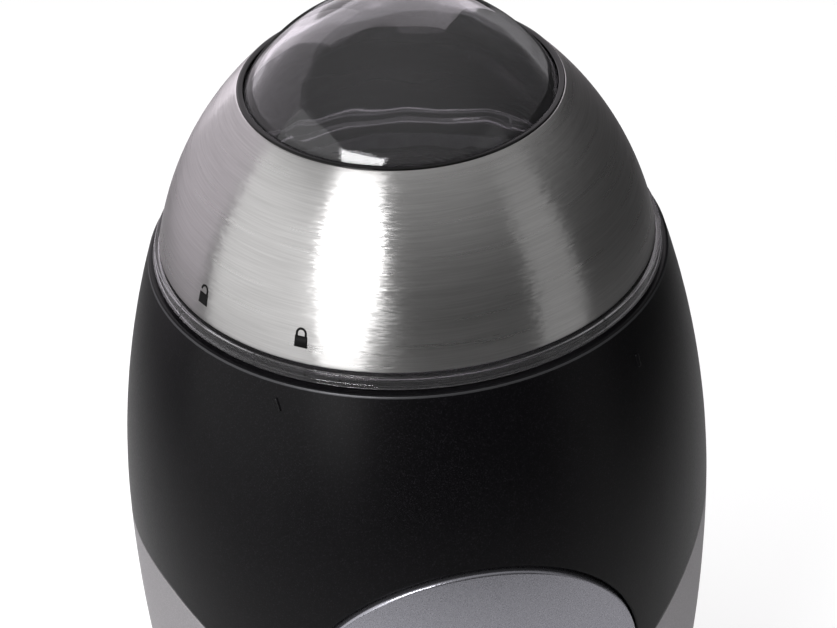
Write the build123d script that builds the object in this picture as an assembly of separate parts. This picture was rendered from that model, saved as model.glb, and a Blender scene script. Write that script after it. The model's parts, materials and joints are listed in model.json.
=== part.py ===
from build123d import *
from math import asin, cos, degrees, hypot, radians, sin, sqrt
import os

# Electric spice grinder.
# Millimetres, +Z up.  The front, with the round button, faces -Y.
# The origin is the centre of the footprint, on the surface that the rubber feet stand on.
# Angles round the axis are measured from +X, counter-clockwise from above.

# ---- outside of the body -----------------------------------------------------------------------
BODY_R = 52.5                # widest radius, at the seam between the two housings
SEAM_Z = 91.5                # height of that seam at the sides and back
UPPER_SWEEP_R = 176.0        # radius of the outline's arc above the seam
LOWER_SWEEP_R = 300.0        # radius of the outline's arc below the seam
BODY_TOP_ROUND = 0.6
SHELL_BOTTOM_Z = 5.0
UPPER_WALL = 2.4
LOWER_WALL = 2.2
TOP_LAND_T = 2.0             # thickness of the upper housing's rolled-in top edge
TOP_LAND_W = 2.1             # radial width of that edge and its gap to the collar
LAND_GAP = 0.3
SEAM_GAP = 0.2               # shadow line between the two housings

# ---- base --------------------------------------------------------------------------------------
PLATE_BOTTOM_Z = 2.0
PLATE_T = 2.6
PLATE_INSET = 0.75           # base plate's rim inside the lower shell's outline
PLATE_RIM_GAP = 0.2          # below the lower shell's edge
SPIGOT_GAP = 0.25
SPIGOT_WALL = 1.8
SPIGOT_H = 3.4               # above the base plate's floor
FOOT_R = 6.5
FOOT_INSET = 12.0            # feet's circle inside the base plate's rim
FOOT_POCKET = 1.0
FOOT_ROUND = 0.8
FOOT_STEM_R = 2.0
FOOT_COUNT = 4
VENT_COUNT = 20
VENT_IN_R = 9.0
VENT_FOOT_GAP = 1.5          # between the vents and the feet
VENT_W = 1.8
GLAND_Z = 14.0
GLAND_BORE_R = 3.3
GLAND_BODY_R = 5.0
GLAND_FLANGE_R = 6.4
GLAND_FLANGE_T = 2.0
GLAND_PROUD = 3.7            # outside the lower shell's outline at its own height
GLAND_L = 11.5
GLAND_WALL_GAP = 0.1
POST_INSET = 3.8             # support posts' circle inside the base plate's spigot
SUPPORT_ANGLE = 30.0         # from the X axis to each support post
SUPPORT_R = 3.4
SUPPORT_STUD_L = 2.2

# ---- motor, stacked upwards from the base plate ------------------------------------------------
SHAFT_R = 3.0
SHAFT_TIP_R = 2.5
SHAFT_BELOW_FAN = 0.8
FAN_GAP = 3.0                # air gap between the base plate and the fan
FAN_R = 22.0
FAN_H = 6.0
FAN_PLATE_T = 1.2
FAN_HUB_R = 5.0
FAN_BLADES = 9
FAN_BLADE_T = 1.2
FAN_TOP_GAP = 2.4
BRACKET_T = 3.0
BRACKET_X = 50.0
BRACKET_Y = 46.0
HOUSING_R = 8.5              # bearing housings on the brackets
WINDOW_IN_R = 11.0           # air windows in the brackets
WINDOW_OUT_R = 16.5
WINDOW_SPAN = 40.0
LOWER_POST_H = 29.0
UPPER_POST_H = 14.0
POST_X = 19.5
POST_Y = 17.5
POST_R = 3.0
BOLT_R = 1.4
BOLT_GAP = 0.1
BEARING_FIT = 0.03
BEARING_R = 6.0
BEARING_H = 8.0
STATOR_X = 48.0
STATOR_Y = 44.0
STATOR_ROUND = 4.0
STATOR_H = 24.0
STATOR_BORE_R = 14.1
AIR_GAP = 0.5
SLOT_REACH_X = 19.5
SLOT_HALF_Y = 11.0
COIL_IN_R = 15.0
COIL_OUT_R = 20.5
COIL_LEG_Y = 7.0
COIL_OVERHANG = 7.0
COIL_GAP = 0.4
CORE_SLOTS = 12
CORE_SLOT_W = 1.6
CORE_SLOT_DEPTH = 4.0
WINDING_R = 12.0
WINDING_OVERHANG = 8.5
WINDING_ROUND = 2.8
COMMUTATOR_R = 8.5
COMMUTATOR_H = 10.0
COMMUTATOR_SLOT_W = 0.6
COMMUTATOR_SLOT_DEPTH = 1.0
BRUSH_ABOVE_BRACKET = 17.0
BRUSH_W = 5.0
BRUSH_H = 6.0
BRUSH_L = 9.0
BRUSH_GAP = 0.05
BRUSH_SPRING_WIRE = 0.4
BRUSH_SPRING_TURNS = 6
BRUSH_SPRING_GAP = 0.4
HOLDER_WALL = 1.2
HOLDER_START = 2.0           # holder's mouth clear of the commutator
HOLDER_L = 16.5
HOLDER_FIT = 0.1
HOLDER_PILLAR_L = 8.0
HOLDER_PILLAR_END = 3.0      # pillar clear of the holder's outer end
DAMPER_R = 4.5
DAMPER_H = 7.5
DAMPER_SEATS = ((20.5, 0.0), (-20.5, 0.0), (0.0, 18.5), (0.0, -18.5))

# ---- bowl, cup, seals and blade, stacked on the motor ------------------------------------------
CUP_FLOOR_T = 2.5
CUP_WALL = 1.8
CHANNEL_W = 3.7              # ring channel between the cup and the lid collar
COLLAR_WALL = 1.6
COLLAR_ABOVE_BOWL = 2.6
COLLAR_BELOW_TOP = 0.4
CHANNEL_DEPTH = 19.6
FLOOR_T = 2.4                # channel floor, and the cup's flange below it
FLANGE_GAP = 0.55            # beside the upper housing's inner wall
HUB_R = 11.0
HUB_GAP = 0.3
BOWL_LIFT = 3.2              # bowl's underside above the cup's floor
BOWL_DEPTH = 36.0
BOWL_T = 0.8
BOWL_CUP_GAP = 0.6
BOWL_FLANGE_INSET = 0.3
BOWL_CORNER_R = 12.0
BOWL_NECK_R = 6.0
BOWL_NECK_H = 2.5
BOWL_GASKET_T = 1.0
SEAL_R = 7.8
SEAL_GAP = 0.3
SEAL_FIT = 0.06
SEAL_WALL_GAP = 0.1
BLADE_GAP = 4.4              # blade's underside above the bowl's floor
BLADE_TIP_GAP = 6.0          # blade's tips inside the bowl's wall
BLADE_W = 9.0
BLADE_T = 1.5
BLADE_PITCH = 16.0
BLADE_HUB_R = 6.5
BLADE_ROOT_R = 4.7
WASHER_R = 4.2
WASHER_T = 0.8
NUT_FLATS = 7.0
NUT_H = 5.0
NUT_CROWN = 0.4
NUT_CAP_T = 1.0

# ---- lid ---------------------------------------------------------------------------------------
RIM_SEAT_GAP = 0.5           # between the body's top and the lid's rim
RIM_H = 2.4
RIM_OVERHANG = 0.7           # rim outside the collar
RIM_GAP = 0.1                # between the rim's top and the sleeve's lower edge
RIM_STEP = 0.7               # rim outside the sleeve
SLEEVE_H = 29.2
SLEEVE_TOP_R = 27.8
SLEEVE_BULGE = 2.4           # rise of the sleeve's outline over its chord
SLEEVE_T = 0.8
SLEEVE_GAP = 0.2
LID_WALL = 2.0
DOME_GAP = 1.4               # width of the gasket's groove
DOME_DROP = 0.1              # dome's base below the sleeve's top
DOME_RISE = 14.8
DOME_WALL = 2.2
GROOVE_DEPTH = 2.2
GASKET_GAP = 0.15
GASKET_PROUD = 0.2
SKIRT_GAP = 2.1              # skirt inside the collar
SKIRT_WALL = 1.4
SKIRT_RING_GAP = 0.4
SHELF_IN = 1.3               # inward reach of the shelf that the lid seal sits under
SHELF_ABOVE_BOWL = 2.8
SHELF_T = 1.4
SHELF_RAMP = 3.0             # height over which the shelf runs out into the cone
LID_SEAL_IN = 1.0
LUG_COUNT = 3
LUG_GAP = 0.4                # lug inside the collar
LUG_ABOVE_SKIRT = 3.0
LUG_H = 2.5
LUG_SPAN = 14.0              # degrees
LUG_ANGLE = -130.0           # middle of the first lug, lid locked
LOCK_TURN = 30.0             # counter-clockwise turn that frees the lid
LEDGE_GAP = 0.4              # ledge outside the skirt
LEDGE_LIFT = 0.5             # ledge above the lug
LEDGE_H = 2.0
LEDGE_LEAD = 2.0             # ledge beyond the lug on its blind side, degrees
SLOT_CLEAR = 1.5             # spare each side of a lug in its entry slot, degrees

# ---- interlock ---------------------------------------------------------------------------------
RING_GAP = 0.4               # beside the ring in the channel
RING_SEAT_GAP = 0.3
RING_H = 4.9
DOG_SPAN = 6.0
DOG_H = 3.0
DOG_GAP = 0.4
DOG_OFFSET = 60.0            # dogs stand this far round from the lugs
PIN_R = 1.5
PIN_FIT = 0.06
PIN_FROM_CUP = 1.8           # pin's circle outside the cup
PIN_TOP_LIFT = 0.1           # pin's top above the ring's underside, lid locked
PIN_STROKE = 2.5
PIN_COLLAR_R = 2.2
PIN_COLLAR_T = 1.0
PIN_COLLAR_DROP = 4.6        # pin's collar below the cup's flange, lid locked
PIN_RELIEF_R = 2.6           # pocket in the cup's wall beside the pin
PIN_SPRING_H = 4.3
PIN_SPRING_WIRE = 0.3
PIN_SPRING_TURNS = 4
PIN_SPRING_GAP = 0.05
CAM_GAP = 0.5
SWITCH_GAP = 0.3
INTERLOCK_SIZE = (6.4, 20.0, 10.0)
INTERLOCK_FROM_CUP = 0.6
SHELF_PLATE_T = 1.6
TERMINAL_W = 3.0
TERMINAL_T = 0.6
TERMINAL_L = 3.0

# ---- front button and the tongue of the upper housing round it ---------------------------------
BUTTON_BELOW_SEAM = 12.5
BUTTON_R = 30.0
BUTTON_PROUD = 0.8
BUTTON_WALL = 2.4
BUTTON_GAP = 0.4
BUTTON_STROKE = 2.5
BUTTON_EDGE_ROUND = 0.5
DISH_R = 18.5                # finger dish in the middle of the button
DISH_DEPTH = 0.8
TONGUE_BORDER = 2.1
TONGUE_SLOPE = 36.9          # degrees below level of the seam's run down to the tongue
TONGUE_RUN_X = 2.8           # where that run leaves the level seam, inside the widest radius
TONGUE_BLEND_R = 8.0
WEB_T = 1.8                  # web behind the button
WEB_NECK_T = 0.8             # what is left of it in front of the cup
STEM_R = 2.0
STEM_INSET = 8.0             # stems' circle inside the button's rim
STEM_COUNT = 3
STEM_ANGLE = 270.0
STEM_HOLE_GAP = 0.3
STEM_HEAD_R = 2.9
STEM_HEAD_T = 1.5
STEM_BOSS_R = 3.8
BUTTON_SPRING_SPACE = 5.4
BUTTON_SPRING_WIRE = 0.45
BUTTON_SPRING_TURNS = 4
BUTTON_SPRING_FIT = 0.8
ACTUATOR_R = 2.5
ACTUATOR_HOLE_GAP = 0.9

# ---- small screws and the start switch ---------------------------------------------------------
SCREW_R = 1.2
SCREW_HEAD_R = 2.4
SCREW_HEAD_T = 1.6
SCREW_GAP = 0.15
SCREW_END_GAP = 1.0
BASE_SCREW_GRIP = 9.0
FRAME_SCREW_GRIP = 8.0
FRAME_SCREW_INSET = 1.78     # frame screws' circle inside the flange's edge
FRAME_SCREW_ANGLES = (60.0, 180.0, 300.0)
BOSS_R = 2.4
START_SIZE = (20.0, 10.0, 10.6)
START_PLUNGER_R = 1.8
START_PLUNGER_GAP = 0.3
START_PLUNGER_TAIL = 3.3
START_SCREW_X = 7.5
START_SCREW_R = 0.9
START_SCREW_HEAD_R = 1.7
START_SCREW_HEAD_T = 1.2

# ---- index marks moulded on the upper housing: angle, drop below its top, lean from upright ----
INDEX_MARKS = ((-129.0, 4.0, 25.0), (-46.6, 7.1, 0.0))
INDEX_L = 2.4
INDEX_W = 0.8
INDEX_PROUD = 0.3

# ---- the vertical stack ------------------------------------------------------------------------
PLATE_TOP_Z = PLATE_BOTTOM_Z + PLATE_T
SPIGOT_TOP_Z = PLATE_TOP_Z + SPIGOT_H
FAN_Z = PLATE_TOP_Z + FAN_GAP
SHAFT_BOTTOM_Z = FAN_Z - SHAFT_BELOW_FAN
LOWER_BRACKET_Z = FAN_Z + FAN_H + FAN_TOP_GAP
LOWER_BRACKET_TOP_Z = LOWER_BRACKET_Z + BRACKET_T
BRUSH_Z = LOWER_BRACKET_Z + BRUSH_ABOVE_BRACKET
COMMUTATOR_Z = BRUSH_Z - COMMUTATOR_H / 2
STATOR_Z = LOWER_BRACKET_TOP_Z + LOWER_POST_H
STATOR_TOP_Z = STATOR_Z + STATOR_H
UPPER_BRACKET_Z = STATOR_TOP_Z + UPPER_POST_H
UPPER_BRACKET_TOP_Z = UPPER_BRACKET_Z + BRACKET_T
CUP_FLOOR_Z = UPPER_BRACKET_TOP_Z + DAMPER_H
CUP_FLOOR_TOP_Z = CUP_FLOOR_Z + CUP_FLOOR_T
BOWL_BASE_Z = CUP_FLOOR_TOP_Z + BOWL_LIFT
BOWL_FLOOR_Z = BOWL_BASE_Z + BOWL_T
SHOULDER_Z = BOWL_FLOOR_Z + BLADE_GAP
BOWL_RIM_Z = BOWL_FLOOR_Z + BOWL_DEPTH
CUP_TOP_Z = BOWL_RIM_Z - BOWL_T - BOWL_GASKET_T
COLLAR_TOP_Z = BOWL_RIM_Z + COLLAR_ABOVE_BOWL
BODY_TOP_Z = COLLAR_TOP_Z + COLLAR_BELOW_TOP
FLOOR_TOP_Z = BODY_TOP_Z - CHANNEL_DEPTH
FLOOR_Z = FLOOR_TOP_Z - FLOOR_T
FLANGE_Z = FLOOR_Z - FLOOR_T
RING_Z = FLOOR_TOP_Z + RING_SEAT_GAP
RING_TOP_Z = RING_Z + RING_H
SKIRT_BOTTOM_Z = RING_TOP_Z + SKIRT_RING_GAP
LUG_Z = SKIRT_BOTTOM_Z + LUG_ABOVE_SKIRT
LEDGE_Z = LUG_Z + LUG_H + LEDGE_LIFT
SHELF_Z = BOWL_RIM_Z + SHELF_ABOVE_BOWL
RIM_BOTTOM_Z = BODY_TOP_Z + RIM_SEAT_GAP
RIM_TOP_Z = RIM_BOTTOM_Z + RIM_H
SLEEVE_BOTTOM_Z = RIM_TOP_Z + RIM_GAP
SLEEVE_TOP_Z = SLEEVE_BOTTOM_Z + SLEEVE_H
DOME_BASE_Z = SLEEVE_TOP_Z - DOME_DROP
DOME_GROOVE_Z = SLEEVE_TOP_Z - GROOVE_DEPTH
PIN_TOP_Z = RING_Z + PIN_TOP_LIFT
PIN_COLLAR_Z = FLANGE_Z - PIN_COLLAR_DROP
PIN_FOOT_Z = PIN_COLLAR_Z - PIN_SPRING_H
BUTTON_Z = SEAM_Z - BUTTON_BELOW_SEAM


def bow_r(bow, z, inset=0.0):
    """Radius from the main axis of a bow's circle, shrunk by inset, at a height."""
    return bow[0] + sqrt((bow[2] - inset) ** 2 - (z - bow[1]) ** 2)


# ---- the radial stack, from the body's outline inwards -----------------------------------------
UPPER_BOW = (BODY_R - UPPER_SWEEP_R, SEAM_Z, UPPER_SWEEP_R)
LOWER_BOW = (BODY_R - LOWER_SWEEP_R, SEAM_Z, LOWER_SWEEP_R)
COLLAR_OUT_R = bow_r(UPPER_BOW, BODY_TOP_Z) - TOP_LAND_W
COLLAR_R = COLLAR_OUT_R - COLLAR_WALL
CUP_R = COLLAR_R - CHANNEL_W
CUP_IN_R = CUP_R - CUP_WALL
BOWL_R = CUP_IN_R - BOWL_CUP_GAP - BOWL_T
BOWL_FLANGE_R = CUP_R - BOWL_FLANGE_INSET
BLADE_R = BOWL_R - BLADE_TIP_GAP
FLANGE_R = bow_r(UPPER_BOW, FLOOR_TOP_Z, UPPER_WALL) - FLANGE_GAP
FRAME_SCREW_CIRCLE_R = FLANGE_R - FRAME_SCREW_INSET
RING_IN_R = CUP_R + RING_GAP
RING_OUT_R = COLLAR_R - RING_GAP
LUG_R = COLLAR_R - LUG_GAP
SKIRT_R = COLLAR_R - SKIRT_GAP
SKIRT_IN_R = SKIRT_R - SKIRT_WALL
SHELF_R = SKIRT_IN_R - SHELF_IN
LEDGE_R = SKIRT_R + LEDGE_GAP
RIM_R = COLLAR_OUT_R + RIM_OVERHANG
SLEEVE_BOTTOM_R = RIM_R - RIM_STEP
DOME_R = SLEEVE_TOP_R - DOME_GAP
PIN_CIRCLE_R = CUP_R + PIN_FROM_CUP
INTERLOCK_X = CUP_R + INTERLOCK_FROM_CUP + INTERLOCK_SIZE[0] / 2
ARMATURE_R = STATOR_BORE_R - AIR_GAP
HOLDER_START_X = COMMUTATOR_R + HOLDER_START
HOLDER_END_X = HOLDER_START_X + HOLDER_L
PLATE_RIM_R = bow_r(LOWER_BOW, SHELL_BOTTOM_Z) - PLATE_INSET
SPIGOT_R = bow_r(LOWER_BOW, SHELL_BOTTOM_Z, LOWER_WALL) - SPIGOT_GAP
FOOT_CIRCLE_R = PLATE_RIM_R - FOOT_INSET
VENT_OUT_R = FOOT_CIRCLE_R - FOOT_R - VENT_FOOT_GAP
SUPPORT_CIRCLE_R = SPIGOT_R - POST_INSET
GLAND_OUTER_Y = bow_r(LOWER_BOW, GLAND_Z) + GLAND_PROUD
GLAND_INNER_Y = GLAND_OUTER_Y - GLAND_L

# ---- the button's stack, from the cup forwards -------------------------------------------------
WEB_FRONT_Y = -(CUP_R + SWITCH_GAP + WEB_NECK_T)
WEB_Y = WEB_FRONT_Y + WEB_T
STEM_BOSS_END_Y = WEB_FRONT_Y - BUTTON_SPRING_SPACE
BUTTON_SKIRT_END_Y = WEB_FRONT_Y - BUTTON_STROKE - BUTTON_GAP
START_FRONT_Y = WEB_Y + SWITCH_GAP
PLUNGER_TIP_Y = START_FRONT_Y - BUTTON_STROKE + SWITCH_GAP
ACTUATOR_END_Y = PLUNGER_TIP_Y - SWITCH_GAP
TONGUE_R = BUTTON_R + BUTTON_GAP + TONGUE_BORDER
STEM_CIRCLE_R = BUTTON_R - STEM_INSET

FAR = 20.0                   # how far cutters run past what they cut
POSTS = tuple((sx * POST_X, sy * POST_Y) for sx in (1, -1) for sy in (1, -1))
SUPPORTS = tuple((SUPPORT_CIRCLE_R * cos(radians(a)), SUPPORT_CIRCLE_R * sin(radians(a)))
                 for a in (SUPPORT_ANGLE, 180 - SUPPORT_ANGLE, 180 + SUPPORT_ANGLE, -SUPPORT_ANGLE))

UP = (Align.CENTER, Align.CENTER, Align.MIN)


# ---- helpers -----------------------------------------------------------------------------------
def rod(radius, z0, z1, x=0.0, y=0.0):
    """Upright cylinder between two heights."""
    return Pos(x, y, z0) * Cylinder(radius, z1 - z0, align=UP)


def ring(outer, inner, z0, z1):
    """Upright tube or washer round the main axis."""
    return rod(outer, z0, z1) - rod(inner, z0, z1)


def rod_y(radius, y0, y1, x=0.0, z=0.0):
    """Cylinder along Y between two values of y."""
    return Pos(x, y1, z) * Rot(90, 0, 0) * Cylinder(radius, y1 - y0, align=UP)


def block(x0, x1, y0, y1, z0, z1):
    """Box between six limits."""
    size = (x1 - x0, y1 - y0, z1 - z0)
    return Pos((x0 + x1) / 2, (y0 + y1) / 2, (z0 + z1) / 2) * Box(*size)


def spun(*edges):
    """Solid of revolution of a closed outline given in (radius, height)."""
    return revolve(Plane.XZ * make_face(Curve() + list(edges)), Axis.Z)


def turned(*points):
    """Solid of revolution of a polygon given in (radius, height)."""
    return spun(Polyline(*points, close=True))


def wedge(outer, inner, z0, z1, angle, span):
    """Part of an upright ring, span degrees wide and centred on an angle."""
    profile = Plane.XZ * Pos((outer + inner) / 2, (z0 + z1) / 2) * Rectangle(outer - inner, z1 - z0)
    return Rot(0, 0, angle - span / 2) * revolve(profile, Axis.Z, span)


def around(count, start=0.0):
    """Equally spaced angles round a full turn."""
    return [start + 360.0 * i / count for i in range(count)]


def polar(radius, angle):
    """Point on a circle round the main axis."""
    return radius * cos(radians(angle)), radius * sin(radians(angle))


def bow_through(r0, z0, r1, z1, rise):
    """Circle (centre r, centre z, radius) through two points, bulging outward by rise."""
    chord = hypot(r1 - r0, z1 - z0)
    radius = chord ** 2 / (8 * rise) + rise / 2
    depth = radius - rise
    return (r0 + r1) / 2 - depth * (z1 - z0) / chord, (z0 + z1) / 2 - depth * (r0 - r1) / chord, radius


def bow_z(bow, r, inset=0.0):
    """Height of the upper side of a bow's circle, shrunk by inset, at a radius."""
    return bow[1] + sqrt((bow[2] - inset) ** 2 - (r - bow[0]) ** 2)


def bow_arc(bow, z0, z1, inset=0.0):
    """Arc of a bow's circle, shrunk by inset, between two heights."""
    heights = (z0, (z0 + z1) / 2, z1)
    return ThreePointArc(*[(bow_r(bow, z, inset), z) for z in heights])


def barrel(inset, z0, z1):
    """Solid inside the body's outline, shrunk by inset, between heights below and above the seam."""
    low = bow_arc(LOWER_BOW, z0, SEAM_Z, inset)
    high = bow_arc(UPPER_BOW, SEAM_Z, z1, inset)
    return spun(low, high, Polyline(high @ 1, (0, z1), (0, z0), low @ 0))


def screw_up(x, y, z_head, z_tip):
    """Screw entering from below: head under z_head, shank up to z_tip."""
    shank = rod(SCREW_R, z_head, z_tip, x, y)
    return shank + rod(SCREW_HEAD_R, z_head - SCREW_HEAD_T, z_head, x, y)


def coil_spring(radius, wire, length, turns):
    """Closed-form compression spring along +Z from the origin plane."""
    path = Helix((length - wire) / turns, length - wire, radius)
    section = Plane(origin=path @ 0, z_dir=path % 0) * Circle(wire / 2)
    return Pos(0, 0, wire / 2) * sweep(section, path=path)


SLEEVE_BOW = bow_through(SLEEVE_BOTTOM_R, SLEEVE_BOTTOM_Z, SLEEVE_TOP_R, SLEEVE_TOP_Z, SLEEVE_BULGE)


# ---- lid ---------------------------------------------------------------------------------------
def dome_sphere():
    """Centre height and radius of the window's outer sphere."""
    radius = (DOME_R ** 2 + DOME_RISE ** 2) / (2 * DOME_RISE)
    return DOME_BASE_Z + DOME_RISE - radius, radius


def meeting_point(bow, inset, centre_z, radius):
    """Point where a shrunk bow meets a sphere that is centred on the axis, found by bisection."""
    low, high = RIM_BOTTOM_Z, DOME_BASE_Z
    for _ in range(60):
        middle = (low + high) / 2
        if hypot(bow_r(bow, middle, inset), middle - centre_z) > radius:
            low = middle
        else:
            high = middle
    return bow_r(bow, low, inset), low


def lid_outline():
    """Closed outline of the clear lid: dome, cone, rim, skirt and seal shelf."""
    centre_z, radius = dome_sphere()
    outer_inset = SLEEVE_T + SLEEVE_GAP
    inner_inset = outer_inset + LID_WALL
    groove_top = bow_z(SLEEVE_BOW, SLEEVE_TOP_R, outer_inset)
    cone = bow_arc(SLEEVE_BOW, RIM_TOP_Z, groove_top, outer_inset)
    dome_mid_r = DOME_R / 2
    dome_mid = (dome_mid_r, centre_z + sqrt(radius ** 2 - dome_mid_r ** 2))
    dome = ThreePointArc((DOME_R, DOME_BASE_Z), dome_mid, (0, centre_z + radius))
    inner_radius = radius - DOME_WALL
    inner_end = meeting_point(SLEEVE_BOW, inner_inset, centre_z, inner_radius)
    inner_mid_r = inner_end[0] / 2
    inner_mid = (inner_mid_r, centre_z + sqrt(inner_radius ** 2 - inner_mid_r ** 2))
    inner_dome = ThreePointArc((0, centre_z + inner_radius), inner_mid, inner_end)
    shelf_top = SHELF_Z + SHELF_T
    cone_start = shelf_top + SHELF_RAMP
    inner_cone = bow_arc(SLEEVE_BOW, inner_end[1], cone_start, inner_inset)
    foot = [inner_cone @ 1, (SHELF_R, shelf_top), (SHELF_R, SHELF_Z), (SKIRT_IN_R, SHELF_Z),
            (SKIRT_IN_R, SKIRT_BOTTOM_Z), (SKIRT_R, SKIRT_BOTTOM_Z), (SKIRT_R, RIM_BOTTOM_Z),
            (RIM_R, RIM_BOTTOM_Z), (RIM_R, RIM_TOP_Z), cone @ 0]
    groove = Polyline(cone @ 1, (SLEEVE_TOP_R, DOME_GROOVE_Z), (DOME_R, DOME_GROOVE_Z), dome @ 0)
    axis_line = Line(dome @ 1, inner_dome @ 0)
    return cone, groove, dome, axis_line, inner_dome, inner_cone, Polyline(*foot)


def lid_shell():
    """Clear lid: window dome, cone and skirt, with bayonet lugs and notches for the ring's dogs."""
    lid = spun(*lid_outline())
    for angle in around(LUG_COUNT, LUG_ANGLE):
        lid += wedge(LUG_R, SKIRT_IN_R, LUG_Z, LUG_Z + LUG_H, angle, LUG_SPAN)
    notch_span = DOG_SPAN + 2 * degrees(DOG_GAP / SKIRT_R)
    for angle in around(LUG_COUNT, LUG_ANGLE + DOG_OFFSET):
        top = RING_TOP_Z + DOG_H + DOG_GAP
        lid -= wedge(SKIRT_R + SKIRT_WALL, SKIRT_IN_R - SKIRT_WALL, SKIRT_BOTTOM_Z, top, angle, notch_span)
    return lid


def lid_sleeve():
    """Brushed steel sleeve over the lid's cone."""
    outer = bow_arc(SLEEVE_BOW, SLEEVE_BOTTOM_Z, SLEEVE_TOP_Z)
    inner_top = bow_z(SLEEVE_BOW, SLEEVE_TOP_R, SLEEVE_T)
    inner = bow_arc(SLEEVE_BOW, inner_top, SLEEVE_BOTTOM_Z, SLEEVE_T)
    return spun(outer, Line(outer @ 1, inner @ 0), inner, Line(inner @ 1, outer @ 0))


def window_gasket():
    """Black ring that fills the groove between the window and the sleeve."""
    outer = SLEEVE_TOP_R - GASKET_GAP
    inner = DOME_R + GASKET_GAP
    top = SLEEVE_TOP_Z + GASKET_PROUD
    return turned((inner, DOME_GROOVE_Z), (outer, DOME_GROOVE_Z), (outer, top), (inner, DOME_BASE_Z))


def lid_seal():
    """Soft ring under the lid's shelf, just above the bowl's flange."""
    return ring(SKIRT_IN_R - SEAL_WALL_GAP, SHELF_R - LID_SEAL_IN, BOWL_RIM_Z + SEAL_GAP, SHELF_Z)


# ---- interlock ---------------------------------------------------------------------------------
def cam_recess():
    """Recess under the interlock ring whose sloping roof lets the pin rise as the ring turns."""
    half = PIN_CIRCLE_R * sin(radians(LOCK_TURN / 2))
    margin = PIN_R + RING_GAP + CAM_GAP
    low = PIN_TOP_Z + CAM_GAP
    high = low + PIN_STROKE
    under = RING_Z - RING_H
    points = [(-half - margin, under), (-half - margin, high), (-half, high),
              (half, low), (half + margin, low), (half + margin, under)]
    middle = -LOCK_TURN / 2
    radial = polar(1.0, middle)
    face = Plane(origin=(0, 0, 0), x_dir=(-radial[1], radial[0], 0), z_dir=(radial[0], radial[1], 0))
    sketch = face.offset(RING_IN_R - margin) * make_face(Polyline(*points, close=True))
    return extrude(sketch, amount=RING_OUT_R - RING_IN_R + 2 * margin)


def interlock_ring():
    """Ring in the channel, turned by the lid's skirt and pressing the interlock pin."""
    body = ring(RING_OUT_R, RING_IN_R, RING_Z, RING_TOP_Z)
    for angle in around(LUG_COUNT, LUG_ANGLE + DOG_OFFSET):
        body += wedge(SKIRT_R, SKIRT_IN_R + DOG_GAP, RING_TOP_Z - DOG_GAP,
                      RING_TOP_Z + DOG_H, angle, DOG_SPAN)
    return body - cam_recess()


def interlock_pin():
    """Pin through the channel floor, from the ring's cam to the interlock switch."""
    pin = rod(PIN_R, PIN_FOOT_Z, PIN_TOP_Z, PIN_CIRCLE_R)
    return pin + rod(PIN_COLLAR_R, PIN_COLLAR_Z, PIN_COLLAR_Z + PIN_COLLAR_T, PIN_CIRCLE_R)


def interlock_spring():
    """Spring that lifts the pin by its collar."""
    radius = PIN_R + PIN_SPRING_WIRE + PIN_SPRING_GAP
    spring = coil_spring(radius, PIN_SPRING_WIRE, PIN_SPRING_H, PIN_SPRING_TURNS)
    return Pos(PIN_CIRCLE_R, 0, PIN_FOOT_Z) * spring


def interlock_switch():
    """Small snap-action switch below the interlock pin, with its two terminals."""
    top = PIN_FOOT_Z - SWITCH_GAP
    wide, long, high = INTERLOCK_SIZE
    body = block(INTERLOCK_X - wide / 2, INTERLOCK_X + wide / 2, -long / 2, long / 2, top - high, top)
    side = INTERLOCK_X + wide / 2
    for y in (-long / 4, long / 4):
        body += block(side, side + TERMINAL_L, y - TERMINAL_W / 2, y + TERMINAL_W / 2,
                      top - high / 2, top - high / 2 + TERMINAL_T)
    return body


# ---- frame -------------------------------------------------------------------------------------
def ledge(angle):
    """Bayonet ledge over a locked lug, open where the lug comes out."""
    start = -LUG_SPAN / 2 - LEDGE_LEAD
    end = LOCK_TURN - LUG_SPAN / 2 - SLOT_CLEAR
    middle = angle + (start + end) / 2
    return wedge(COLLAR_R + COLLAR_WALL / 2, LEDGE_R, LEDGE_Z, LEDGE_Z + LEDGE_H, middle, end - start)


def frame_screw_holes(z0, z1):
    """Clearance holes for the frame screws."""
    holes = []
    for angle in FRAME_SCREW_ANGLES:
        x, y = polar(FRAME_SCREW_CIRCLE_R, angle)
        holes.append(rod(SCREW_R + SCREW_GAP, z0, z1, x, y))
    return holes


def lid_collar():
    """Collar round the lid's skirt, with the bayonet ledges and the floor of the ring channel."""
    body = ring(COLLAR_OUT_R, COLLAR_R, FLOOR_Z, COLLAR_TOP_Z)
    body += ring(FLANGE_R, CUP_R + LAND_GAP / 2, FLOOR_Z, FLOOR_TOP_Z)
    for angle in around(LUG_COUNT, LUG_ANGLE):
        body += ledge(angle)
    for hole in frame_screw_holes(FLOOR_Z, FLOOR_TOP_Z):
        body -= hole
    return body - rod(PIN_R + PIN_FIT, FLOOR_Z, FLOOR_TOP_Z, PIN_CIRCLE_R)


def interlock_shelf():
    """Shelf on the cup's side that the interlock switch stands on."""
    top = PIN_FOOT_Z - SWITCH_GAP - INTERLOCK_SIZE[2] - SWITCH_GAP
    reach = INTERLOCK_X + INTERLOCK_SIZE[0] / 2
    half = INTERLOCK_SIZE[1] / 2
    return block(CUP_IN_R - CUP_WALL, reach, -half, half, top - SHELF_PLATE_T, top)


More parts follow.
